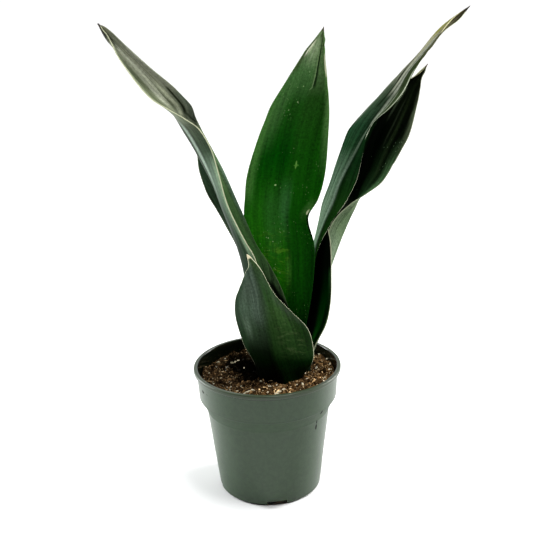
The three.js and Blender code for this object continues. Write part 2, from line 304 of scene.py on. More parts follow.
def makeSky():
    world = bpy.data.worlds.new("studio")
    world.use_nodes = True
    world.node_tree.nodes.clear()
    wires = Wiring(world.node_tree)
    y = wires.split(wires.add("ShaderNodeTexCoord").outputs["Generated"])[1]
    strength = wires.remap(y, studio["skyFrom"], studio["skyTo"], studio["skyFront"], studio["skyBack"])
    background = wires.add("ShaderNodeBackground", {"Color": (1, 1, 1, 1), "Strength": strength})
    wires.add("ShaderNodeOutputWorld", {"Surface": background.outputs[0]})
    bpy.context.scene.world = world


def aimLight(light, place, aim):
    light.location = place
    light.rotation_euler = (Vector(aim) - Vector(place)).to_track_quat("-Z", "Y").to_euler()


def makeLights():
    for name, place, size, watts, colour in studio["boxes"]:
        data = bpy.data.lights.new(name, "AREA")
        data.shape = "RECTANGLE"
        data.size, data.size_y = size
        data.energy = watts
        data.color = colour
        aimLight(addObject(name, data), place, studio["boxAim"])
    data = bpy.data.lights.new("highLight", "SUN")
    data.energy = studio["sunStrength"]
    data.angle = math.radians(studio["sunAngle"])
    sun = addObject("highLight", data)
    sun.rotation_euler = Vector(studio["sunFrom"]).to_track_quat("Z", "Y").to_euler()
    data = bpy.data.lights.new("tipLight", "SPOT")
    data.energy = studio["spotWatts"]
    data.spot_size = math.radians(studio["spotCone"])
    data.spot_blend = 1.0
    data.shadow_soft_size = studio["spotSize"]
    aimLight(addObject("tipLight", data), studio["spotFrom"], studio["spotAim"])


makeCamera()
makeFloor()
makeSky()
makeLights()
bpy.context.scene.view_settings.view_transform = "Standard"
print("camera, floor and lights are set")


# Leaves: the same stations as the solids, drawn finer

leafForm = {
    "rings": 200,
    "perHalf": 16,
    "marginSteps": 3,
    "marginThickness": 0.8,
    "marginPull": 0.3,
    "cupping": 0.06,
    "leastMitre": 0.28,
    "ribDepthShare": 0.5,
    "ribDepthExtra": 0.4,
    "keelPasses": 5,
    "keelReach": 2.2,
    "keelSoftness": 0.5,
    # shallow channels along the blade, and dents across it, which fade where it is narrow
    "channelDepth": 0.14,
    "channelPitch": 6.0,
    "dentDepth": 0.25,
    "dentAcross": 0.17,
    "dentAlong": 0.11,
    "dentSwell": 0.047,
    "dentSeed": 2.3,
    "fadeWidth": 8.0,
    "seedStep": 1.7,
}

# A station holds the left margin, the keel and the right margin, seen from the upper face, in millimetres.
leafStations = {
    "leaf_centre": {
        "ribThickness": (3.4, 1.6),
        "stations": [
            [(3, 4, 64), (12, 7, 62), (21, 4, 64)],
            [(2, 2, 94), (12, 6, 92), (22, 2, 94)],
            [(0, 3, 138), (16, 8, 132), (31, 2, 132)],
            [(-7, 3, 167), (17, 9, 161), (36, 1, 162)],
            [(-12, 3, 196), (17, 9, 192), (38, 1, 195)],
            [(-14, 4, 220), (16, 10, 217), (34, 1, 218)],
            [(-13, 4, 233), (17, 10, 231), (41, 1, 231)],
            [(-11, 4, 249), (19, 11, 247), (46, 2, 248)],
            [(-2, 5, 277), (25, 12, 276), (49, 3, 278)],
            [(7, 7, 299), (32, 14, 297), (50, 5, 298)],
            [(19, 10, 316), (39, 16, 315), (49, 9, 316)],
            [(31, 15, 333), (43, 19, 331), (48, 14, 332)],
            [(41, 19, 345), (46, 21, 344), (48, 18, 343)],
        ],
        "tip": (47.5, 22, 352.5),
    },
    "leaf_left": {
        "ribThickness": (3.2, 1.5),
        "stations": [
            [(6, -11, 64), (-2, -5, 62), (7, 0, 64)],
            [(7, -12, 93), (-2, -4, 92), (8, -1, 93)],
            [(2, -22, 137), (-10, -8, 135), (19, -5, 137)],
            [(-2, -27, 163), (-14, -9, 160), (14, -6, 161)],
            [(-6, -31, 194), (-17, -10, 186), (3, -6, 186)],
            [(-13, -30, 210), (-21, -11, 203), (-5, -4, 199)],
            [(-23, -31, 233), (-30, -12, 231), (-16, -2, 226)],
            [(-30, -33, 261), (-39, -12, 256), (-27, 3, 252)],
            [(-35, -33, 279), (-48, -12, 274), (-35, 5, 269)],
            [(-42, -34, 292), (-55, -12, 287), (-42, 3, 284)],
            [(-50, -35, 298), (-59, -12, 296), (-45, -1, 292)],
            [(-61, -34, 305), (-62, -13, 303), (-49, -8, 304)],
            [(-71, -32, 312), (-68, -14, 312), (-57, -17, 317)],
            [(-82, -31, 324), (-77, -14, 325), (-71, -24, 331)],
            [(-94, -27, 342), (-91, -15, 339), (-86, -26, 346)],
            [(-100, -22, 353), (-101, -16, 349), (-97, -21, 356)],
        ],
        "tip": (-107, -17, 361.5),
    },
    "leaf_front": {
        "ribThickness": (3.0, 1.3),
        "stations": [
            [(25, -8, 64), (12, -17, 62), (0, -9, 64)],
            [(27, -9, 93), (12, -20, 92), (-7, -6, 93)],
            [(35, -9, 106), (7, -24, 109), (-10, -8, 108)],
            [(36, -8, 115), (4, -27, 123), (-16, -6, 119)],
            [(32, -10, 133), (1, -30, 142), (-21, -8, 135)],
            [(20, -14, 149), (-2, -32, 157), (-23, -12, 151)],
            [(8, -20, 165), (-3, -33, 169), (-22, -16, 162)],
            [(3, -26, 176), (-5, -34, 179), (-18, -22, 174)],
            [(-1, -31, 187), (-8, -35, 189), (-14, -29, 186)],
            [(-6, -35, 196), (-9, -36, 195), (-11, -36, 194)],
        ],
        "tip": (-12, -38, 203),
    },
    "leaf_right": {
        "ribThickness": (2.6, 1.3),
        "stations": [
            [(27, 10, 64), (23, 6, 62), (18, 10, 64)],
            [(27, 10, 93), (23, 5, 92), (18, 10, 93)],
            [(32, 12, 131), (29, 5, 130), (23, 12, 131)],
            [(37, 13, 161), (34, 4, 160), (29, 14, 161)],
            [(41, 13, 188), (39, 3, 194), (37, 14, 192)],
            [(51, 13, 209), (45, 2, 212), (41, 15, 209)],
            [(61, 16, 222), (52, 2, 228), (45, 18, 225)],
            [(70, 18, 238), (57, 1, 244), (51, 20, 240)],
            [(75, 19, 258), (66, 0, 262), (57, 21, 258)],
            [(78, 18, 273), (73, -1, 277), (63, 20, 274)],
            [(82, 17, 284), (79, -2, 287), (68, 18, 283)],
            [(94, 15, 293), (88, -3, 299), (77, 16, 294)],
            [(103, 10, 305), (96, -4, 310), (87, 13, 305)],
            [(110, 6, 321), (104, -5, 323), (99, 8, 319)],
            [(118, 1, 334), (114, -6, 335), (109, 2, 331)],
            [(127, -3, 347), (125, -8, 348), (122, -2, 347)],
            [(136, -7, 356), (134, -9, 358), (131, -6, 356)],
        ],
        "tip": (144.5, -10, 366),
    },
    "leaf_right_inner": {
        "ribThickness": (2.6, 1.3),
        "stations": [
            [(14, 13, 64), (22, 17, 62), (28, 11, 64)],
            [(14, 14, 93), (22, 18, 92), (29, 13, 93)],
            [(27, 27, 131), (37, 31, 130), (42, 22, 131)],
            [(42, 38, 171), (54, 40, 166), (47, 28, 177)],
            [(48, 41, 195), (62, 43, 186), (52, 30, 201)],
            [(53, 42, 212), (68, 44, 200), (58, 29, 211)],
            [(56, 41, 226), (74, 45, 215), (69, 27, 221)],
            [(60, 40, 242), (76, 46, 229), (80, 26, 228)],
            [(66, 39, 257), (82, 47, 245), (92, 27, 238)],
            [(74, 38, 274), (87, 48, 261), (101, 29, 255)],
            [(83, 38, 290), (95, 49, 278), (111, 32, 269)],
            [(95, 41, 303), (104, 50, 294), (116, 36, 284)],
            [(107, 45, 309), (113, 51, 306), (120, 41, 299)],
            [(118, 49, 313), (120, 52, 312), (123, 48, 311)],
        ],
        "tip": (128, 54, 320.5),
    },
    "leaf_right_low": {
        "ribThickness": (2.4, 1.3),
        "stations": [
            [(29, 11, 64), (33, 4, 62), (30, -4, 64)],
            [(30, 12, 93), (34, 4, 92), (31, -5, 93)],
            [(29, 17, 112), (36, 12, 111), (37, -4, 115)],
            [(29, 20, 127), (40, 15, 126), (46, -1, 133)],
            [(31, 23, 147), (43, 19, 146), (50, 4, 153)],
            [(34, 25, 164), (45, 22, 163), (51, 8, 169)],
            [(38, 26, 180), (46, 24, 178), (51, 12, 182)],
            [(43, 25, 190), (47, 25, 190), (51, 16, 194)],
        ],
        "tip": (49.5, 20, 204),
    },
    "leaf_left_low": {
        "ribThickness": (2.4, 1.3),
        "stations": [
            [(-6, 0, 64), (-3, 7, 62), (3, 10, 64)],
            [(-7, 1, 93), (-4, 8, 92), (3, 12, 93)],
            [(-9, 4, 150), (-3, 12, 150), (4, 13, 151)],
            [(-19, 4, 192), (-14, 13, 183), (-7, 10, 180)],
            [(-29, 4, 214), (-21, 15, 202), (-12, 9, 197)],
            [(-35, 5, 226), (-26, 16, 218), (-17, 9, 215)],
            [(-41, 6, 237), (-32, 17, 232), (-22, 9, 230)],
            [(-45, 8, 250), (-38, 17, 246), (-29, 10, 245)],
            [(-47, 10, 264), (-43, 16, 263), (-37, 11, 262)],
        ],
        "tip": (-46, 14, 274),
    },
}


def unit(vectors):
    return vectors / np.maximum(np.linalg.norm(vectors, axis=-1, keepdims=True), 1e-9)


def curveAt(points, shares):
    # centripetal curve through the points, at shares from 0 to 1, where each span has an equal share
    ends = 2 * points[0] - points[1], 2 * points[-1] - points[-2]
    padded = np.vstack([ends[0], points, ends[1]])
    spot = np.clip(shares, 0, 1) * (len(points) - 1)
    index = np.minimum(spot.astype(int), len(points) - 2)
    w = (spot - index)[:, None]
    p0, p1, p2, p3 = (padded[index + k] for k in range(4))
    spans = (p0, p1), (p1, p2), (p2, p3)
    d0, d1, d2 = (np.sqrt(np.linalg.norm(b - a, axis=1))[:, None] for a, b in spans)
    start = ((p1 - p0) / d0 - (p2 - p0) / (d0 + d1) + (p2 - p1) / d1) * d1
    end = ((p2 - p1) / d1 - (p3 - p1) / (d1 + d2) + (p3 - p2) / d2) * d1
    square = (3 * (p2 - p1) - 2 * start - end) * w ** 2
    cube = (2 * (p1 - p2) + start + end) * w ** 3
    return p1 + start * w + square + cube


# Small swells and nicks of the margins: side, share of the length, reach as a share, push in millimetres.
marginPushes = {
    "leaf_centre": [
        ("left", 0.66, 0.03, -1.0), ("left", 0.71, 0.03, -0.6), ("left", 0.87, 0.02, 0.5),
        ("right", 0.9, 0.012, -0.5), ("right", 0.93, 0.012, 0.6),
    ],
    "leaf_left": [
        ("left", 0.745, 0.045, 2.2), ("left", 0.85, 0.07, 1.6), ("left", 0.985, 0.012, 1.8),
        ("right", 0.68, 0.03, 1.2), ("right", 0.97, 0.02, 0.9),
    ],
    "leaf_front": [
        ("right", 0.25, 0.1, 1.8), ("left", 0.97, 0.03, 0.6), ("left", 0.7, 0.02, 0.3),
        ("left", 0.6, 0.015, -0.3),
    ],
    "leaf_right": [
        ("right", 0.985, 0.012, 1.0), ("right", 0.555, 0.03, 1.2), ("right", 0.91, 0.06, 1.8),
        ("left", 0.95, 0.04, 1.5), ("left", 0.828, 0.006, -1.3), ("left", 0.85, 0.012, 0.9),
    ],
    "leaf_right_inner": [
        ("left", 0.955, 0.03, 2.6), ("right", 0.96, 0.02, 0.9), ("right", 0.635, 0.045, 2.4),
        ("right", 0.56, 0.03, 0.6), ("right", 0.62, 0.008, -0.4),
    ],
    "leaf_right_low": [("right", 0.5, 0.3, 1.2)],
    "leaf_left_low": [],
}


def bladeLines(leaf, pushes, shares):
    # the margins with their pushes and the keel, and the directions along and to either side
    rows = [np.array([*column, leaf["tip"]], float) for column in zip(*leaf["stations"])]
    left, rib, right = (curveAt(row, shares) for row in rows)
    step = 1e-3
    along = unit(curveAt(rows[1], shares + step) - curveAt(rows[1], shares - step))
    toLeft = unit(left - rib)
    toRight = unit(right - rib)
    for edge, place, reach, push in pushes:
        amount = (push * np.exp(-((shares - place) / reach) ** 2))[:, None]
        if edge == "left":
            left = left + toLeft * amount
        else:
            right = right + toRight * amount
    return left, rib, right, along, toLeft, toRight


def softenKeel(grid):
    n = leafForm["perHalf"]
    near = np.exp(-(np.arange(-n, n + 1) / leafForm["keelReach"]) ** 2)[None, 1:-1, None]
    for _ in range(leafForm["keelPasses"]):
        smooth = 0.5 * (grid[:, :-2] + grid[:, 2:])
        grid[:, 1:-1] += near * leafForm["keelSoftness"] * (smooth - grid[:, 1:-1])


def marginArc(lower, upper, bulge):
    # the rounded margin, from the under side to the upper side
    steps = leafForm["marginSteps"]
    arc = []
    for j in range(1, steps + 1):
        turn = math.pi * j / (steps + 1)
        base = (lower * (1 + math.cos(turn)) + upper * (1 - math.cos(turn))) / 2
        arc.append(base + bulge * math.sin(turn))
    return np.stack(arc, 1)


def bladeLoops(leaf, pushes, seed):
    # a loop of points round the blade at each ring, with where they lie across and along it
    form = leafForm
    rings = form["rings"]
    n = form["perHalf"]
    shares = np.arange(rings) / rings
    left, rib, right, along, toLeft, toRight = bladeLines(leaf, pushes, shares)
    leftWidth = np.linalg.norm(left - rib, axis=1)
    rightWidth = np.linalg.norm(right - rib, axis=1)
    narrower = np.minimum(leftWidth, rightWidth)
    leftFace = unit(np.cross(along, toLeft))
    rightFace = unit(np.cross(toRight, along))
    middle = unit(leftFace + rightFace)
    mitre = np.maximum((middle * leftFace).sum(1), form["leastMitre"])
    atFoot, atTip = leaf["ribThickness"]
    thick = atFoot + (atTip - atFoot) * shares
    depth = np.minimum(thick / mitre, form["ribDepthShare"] * narrower + form["ribDepthExtra"])
    rim = form["marginThickness"]
    pull = np.minimum(rim / 2, form["marginPull"] * narrower)[:, None]
    left = left - toLeft * pull
    right = right - toRight * pull
    innerRib = rib + middle * depth[:, None]
    innerLeft = left + leftFace * rim
    innerRight = right + rightFace * rim
    length = np.concatenate([[0], np.cumsum(np.linalg.norm(np.diff(rib, axis=0), axis=1))])

    outer = np.zeros((rings, 2 * n + 1, 3))
    inner = np.zeros_like(outer)
    across = np.zeros((rings, 2 * n + 1))
    fade = np.minimum(1, narrower / form["fadeWidth"])
    swell = np.sin(length * form["dentSwell"] + seed)
    for k in range(-n, n + 1):
        out = abs(k) / n
        isLeft = k < 0
        face = leftFace if isLeft else rightFace
        width = leftWidth if isLeft else rightWidth
        bow = (-form["cupping"] * width * 4 * out * (1 - out))[:, None]
        place = width * out * (-1 if isLeft else 1)
        wave = form["channelDepth"] * np.sin(2 * math.pi * place / form["channelPitch"] + seed) * out
        slant = place * form["dentAcross"] + length * form["dentAlong"] + seed * form["dentSeed"]
        wave += form["dentDepth"] * np.sin(slant) * swell
        move = face * (bow + (wave * fade)[:, None])
        outer[:, k + n] = rib * (1 - out) + (left if isLeft else right) * out + move
        inner[:, k + n] = innerRib * (1 - out) + (innerLeft if isLeft else innerRight) * out + move
        across[:, k + n] = place
    softenKeel(outer)
    softenKeel(inner)
    leftArc = marginArc(outer[:, 0], inner[:, 0], toLeft * pull)
    rightArc = marginArc(outer[:, -1], inner[:, -1], toRight * pull)
    # under side, right margin, upper side back, left margin
    loops = np.concatenate([outer, rightArc, inner[:, ::-1], leftArc[:, ::-1]], 1)
    return loops, across, length, leftWidth, rightWidth


def bladeFaces(rings, wide, steps):
    # sides and margins, then the closed foot, then the fan at the tip
    size = 2 * (wide + steps)
    faces = []
    for ring in range(rings - 1):
        a = ring * size
        b = a + size
        for k in range(size):
            q = (k + 1) % size
            faces.append((a + k, a + q, b + q, b + k))
    upper = [2 * wide + steps - 1 - k for k in range(wide)]
    for k in range(wide - 1):
        faces.append((k + 1, k, upper[k], upper[k + 1]))
    faces.append((wide - 1, upper[-1], *[wide + j for j in reversed(range(steps))]))
    faces.append((upper[0], 0, *[size - 1 - j for j in range(steps)]))
    apex = rings * size
    top = apex - size
    for k in range(size):
        faces.append((top + k, top + (k + 1) % size, apex))
    return faces


def leafMesh(name, leaf, pushes, seed):
    loops, across, length, leftWidth, rightWidth = bladeLoops(leaf, pushes, seed)
    rings, wide = across.shape
    size = loops.shape[1]
    steps = leafForm["marginSteps"]
    points = np.vstack([loops.reshape(-1, 3), [leaf["tip"]]])
    mesh = closedMesh(name, points, bladeFaces(rings, wide, steps))

    def loopOf(grid, leftEnd, rightEnd):
        ones = np.ones((rings, steps))
        return np.concatenate([grid, ones * rightEnd, grid[:, ::-1], ones * leftEnd], 1)

    # leafPlace is metres across, metres along and the face, from 0 under to 1 above; leafSpan is the side
    # from -1 to 1, the share of the length and the metres to the margin
    columns = np.arange(-leafForm["perHalf"], leafForm["perHalf"] + 1)
    side = columns / leafForm["perHalf"]
    toMargin = (1 - np.abs(side)) * np.where(columns < 0, leftWidth[:, None], rightWidth[:, None])
    climb = np.broadcast_to(np.arange(1, steps + 1) / (steps + 1), (rings, steps))
    face = np.concatenate([np.zeros((rings, wide)), climb, np.ones((rings, wide)), climb[:, ::-1]], 1)
    layers = {
        "leafPlace": (
            loopOf(across, -leftWidth[:, None], rightWidth[:, None]) * mm,
            np.broadcast_to(length[:, None] * mm, (rings, size)),
            face),
        "leafSpan": (
            loopOf(np.broadcast_to(side, (rings, wide)), -1.0, 1.0),
            np.broadcast_to((np.arange(rings) / rings)[:, None], (rings, size)),
            loopOf(toMargin, 0.0, 0.0) * mm),
    }
    atTip = {"leafPlace": (0, length[-1] * mm, 0.5), "leafSpan": (0, 1, 0)}
    for title, grids in layers.items():
        values = np.vstack([np.stack(grids, 2).reshape(-1, 3), [atTip[title]]])
        attribute = mesh.attributes.new(title, "FLOAT_VECTOR", "POINT")
        attribute.data.foreach_set("vector", values.astype(np.float32).ravel())
    return mesh


# The pattern that all the leaves share. Scales are cells for each metre, and a mask is where it starts and
# where it is full.
leafPattern = {
    "keelBlend": 0.12,
    "streakCore": 0.15,
    "bandScale": 360.0, "bandStretch": 0.22, "bandMask": (0.48, 0.68),
    # fade of the bands at their sides and at their ends
    "bandFades": (0.1, 0.05),
    "driftScale": 45.0, "drift": 0.02,
    "veinScale": 300.0, "veinStretch": 0.025, "mottleScale": 520.0, "toneMask": (0.36, 0.64),
    "speckCells": (620.0, 420.0, 3.0), "speckMask": (0.28, 0.12), "speckBlend": 0.02, "speckStrength": 0.7,
    "patchScale": 38.0, "patchMask": (0.5, 0.66), "patchStrength": 0.35,
    "marginRagged": 0.0006, "marginMask": (1.3, 0.6), "marginFade": 0.06,
    "tipRagged": 0.02, "tipFade": 0.012,
    "roughnessMask": (0.3, 0.7), "roughnessSpread": (-0.05, 0.07),
    "veinRelief": 0.6, "mottleRelief": 0.4, "bumpStrength": 0.35, "bumpDepth": 0.0004,
}


class Blade:
    # where a point lies on a blade, as sockets for the layers of its material
    def __init__(self, wires):
        self.place = wires.add("ShaderNodeAttribute", attribute_name="leafPlace").outputs["Vector"]
        span = wires.add("ShaderNodeAttribute", attribute_name="leafSpan").outputs["Vector"]
        self.across, self.along, self.face = wires.split(self.place)
        self.side, self.share, self.toMargin = wires.split(span)
        self.inside = wires.remap(self.face, 0.4, 0.6)
        self.outside = wires.calc("SUBTRACT", 1.0, self.inside)
        lengthwise = wires.calc("MULTIPLY", self.along, leafPattern["veinStretch"])
        veinPlace = wires.join(self.across, lengthwise, self.face)
        self.veins = wires.cloud(veinPlace, leafPattern["veinScale"], 5.0, 0.8)
        self.mottle = wires.cloud(self.place, leafPattern["mottleScale"], 5.0, 0.75)

    def on(self, isInner):
        return self.inside if isInner else self.outside


def toneLayer(wires, blade, look):
    # the tones of both halves of both faces; besides the leaf's own colour they hold painted sheen and
    # painted shade, lighter or darker by how each half faces the light
    halves = wires.remap(blade.side, -leafPattern["keelBlend"], leafPattern["keelBlend"])
    faces = []
    for face in ("outer", "inner"):
        left, right = (wires.ramp(blade.share, [(at, paint(*tone)) for at, *tone in look[face][half]])
                       for half in ("left", "right"))
        faces.append(wires.mix(halves, left, right))
    return wires.mix(blade.inside, *faces)


def streakLayer(wires, blade, look, base):
    # soft streaks that run along the blade: mostly painted sheen, painted highlights and painted shade
    for isInner, first, last, width, start, stop, fade, colour, strength in look["streaks"]:
        line = wires.remap(blade.share, start, stop, first, last, False)
        streak = wires.around(blade.side, line, width, width * leafPattern["streakCore"])
        ends = wires.between(blade.share, start, stop, fade)
        base = wires.cover(base, paint(*colour), streak, ends, blade.on(isInner), strength)
    return base


def bandLayer(wires, blade, look, base):
    # irregular cross bands, as on all snake plants
    pattern = leafPattern
    drift = wires.calc("MULTIPLY", wires.cloud(blade.place, pattern["driftScale"], 3.0), pattern["drift"])
    crosswise = wires.calc("MULTIPLY", blade.across, pattern["bandStretch"])
    place = wires.join(crosswise, wires.calc("ADD", blade.along, drift), blade.face)
    bands = wires.remap(wires.cloud(place, pattern["bandScale"], 3.0, 0.6), *pattern["bandMask"])
    sideFade, spanFade = pattern["bandFades"]
    sides = wires.between(blade.side, *look["bandSides"], sideFade)
    ends = wires.between(blade.share, *look["bandSpan"], spanFade)
    face = blade.on(look["bandsInner"])
    return wires.cover(base, paint(*look["bandColour"]), bands, sides, face, ends, look["bands"])


def veinLayer(wires, blade, look, base):
    # fine lengthwise veins and a mottled tone
    veins = wires.remap(blade.veins, *leafPattern["toneMask"], -look["veins"], look["veins"], False)
    mottle = wires.remap(blade.mottle, *leafPattern["toneMask"], -look["mottle"], look["mottle"], False)
    return wires.shade(base, wires.calc("ADD", 1.0, wires.calc("ADD", veins, mottle)))


def ovalReach(wires, blade, atSide, atShare, wide, long):
    # 1 on the rim of an oval patch, and less inside it
    u = wires.calc("DIVIDE", wires.calc("SUBTRACT", blade.side, atSide), wide)
    v = wires.calc("DIVIDE", wires.calc("SUBTRACT", blade.share, atShare), long)
    return wires.vector("LENGTH", wires.join(u, v, 0.0))


def speckLayer(wires, blade, look, base):
    # pale specks of dried water, in patches and in the look's own clusters
    pattern = leafPattern
    place = wires.vector("MULTIPLY", blade.place, pattern["speckCells"])
    cells = wires.add("ShaderNodeTexVoronoi", {"Vector": place, "Scale": 1.0})
    spot = wires.remap(cells.outputs["Distance"], *pattern["speckMask"])
    chance = wires.split(cells.outputs["Color"])[0]
    chosen = wires.remap(chance, 1 - look["specks"], 1 - look["specks"] + pattern["speckBlend"])
    patches = wires.cloud(blade.place, pattern["patchScale"], 2.0)
    patchy = wires.remap(patches, *pattern["patchMask"], 0.0, pattern["patchStrength"])
    for centre, size in look["speckClusters"]:
        cluster = wires.remap(ovalReach(wires, blade, *centre, *size), 1.0, 0.7)
        patchy = wires.calc("MAXIMUM", patchy, cluster)
    return wires.cover(base, paint(*look["speckColour"]), spot, chosen, patchy, pattern["speckStrength"])


def markLayer(wires, blade, look, base):
    # single marks: scars, dry patches and spots
    for isInner, atSide, atShare, wide, long, colour, strength in look["marks"]:
        oval = ovalReach(wires, blade, atSide, atShare, wide, long)
        mark = wires.remap(wires.calc("ADD", oval, wires.spread(blade.mottle, 1.0)), 1.0, 0.6)
        base = wires.cover(base, paint(*colour), mark, blade.on(isInner), strength)
    return base


def marginLayer(wires, blade, look, base):
    # the thin pale margin; marginFlat is its strength on the flat of the blade beside the edge
    pattern = leafPattern
    ragged = wires.calc("ADD", blade.toMargin, wires.spread(blade.mottle, pattern["marginRagged"]))
    margin = wires.remap(ragged, *[look["margin"] * part for part in pattern["marginMask"]])
    fromMiddle = wires.calc("ABSOLUTE", wires.calc("SUBTRACT", blade.face, 0.5))
    edge = wires.remap(wires.calc("SUBTRACT", 0.5, fromMiddle), 0.05, 0.2, look["marginFlat"], 1.0)
    above = wires.remap(blade.share, look["marginFrom"], look["marginFrom"] + pattern["marginFade"])
    strength = wires.remap(blade.side, -0.1, 0.1, *look["marginSides"])
    return wires.cover(base, paint(*look["marginColour"]), margin, edge, above, strength)


def tipLayer(wires, blade, look, base):
    # the dry tip
    ragged = wires.calc("ADD", blade.share, wires.spread(blade.mottle, leafPattern["tipRagged"]))
    tip = wires.remap(ragged, look["tipFrom"], look["tipFrom"] + leafPattern["tipFade"])
    return wires.cover(base, paint(*look["tipColour"]), tip)


def leafMaterial(name, look):
    material, wires, shader = newMaterial(name)
    pattern = leafPattern
    blade = Blade(wires)
    base = toneLayer(wires, blade, look)
    for layer in (streakLayer, bandLayer, veinLayer, speckLayer, markLayer, marginLayer, tipLayer):
        base = layer(wires, blade, look, base)
    smoothest, roughest = (look["roughness"] + spread for spread in pattern["roughnessSpread"])
    roughness = wires.remap(blade.mottle, *pattern["roughnessMask"], smoothest, roughest, False)
    dressShader(wires, shader, base, roughness, look["specular"])
    relief = wires.calc("ADD", wires.calc("MULTIPLY", blade.veins, pattern["veinRelief"]),
                        wires.calc("MULTIPLY", blade.mottle, pattern["mottleRelief"]))
    bumpShader(wires, shader, relief, pattern["bumpStrength"], pattern["bumpDepth"])
    return material


# What a leaf has unless its own look says otherwise. "outer" is the under side with the keel, "inner" the
# upper side. Tones run from the foot to the tip: share of the length, then red, green and blue.
plainLook = {
    "bands": 0.12,
    "bandsInner": False,
    "bandSpan": (0.0, 1.0),
    "bandSides": (-2.0, 2.0),
    "bandColour": (60, 76, 54),
    "veins": 0.32,
    "mottle": 0.27,
    "specks": 0.04,
    "speckColour": (170, 186, 150),
    "margin": 0.0002,
    "marginFlat": 0.1,
    "marginFrom": 0.16,
    "marginSides": (0.8, 0.8),
    "marginColour": (200, 204, 170),
    "tipFrom": 0.985,
    "tipColour": (60, 48, 32),
    "roughness": 0.4,
    "specular": 0.01,
    "streaks": [],
    "marks": [],
    "speckClusters": [],
    "outer": {
        "left": [(0.1, 8, 18, 8), (0.35, 36, 54, 36), (0.8, 66, 82, 62)],
        "right": [(0.1, 8, 18, 8), (0.35, 40, 58, 42), (0.8, 70, 86, 68)],
    },
    "inner": {
        "left": [(0.1, 4, 16, 4), (0.4, 16, 48, 14), (0.9, 40, 70, 34)],
        "right": [(0.1, 4, 16, 4), (0.4, 14, 44, 14), (0.9, 36, 66, 32)],
    },
}

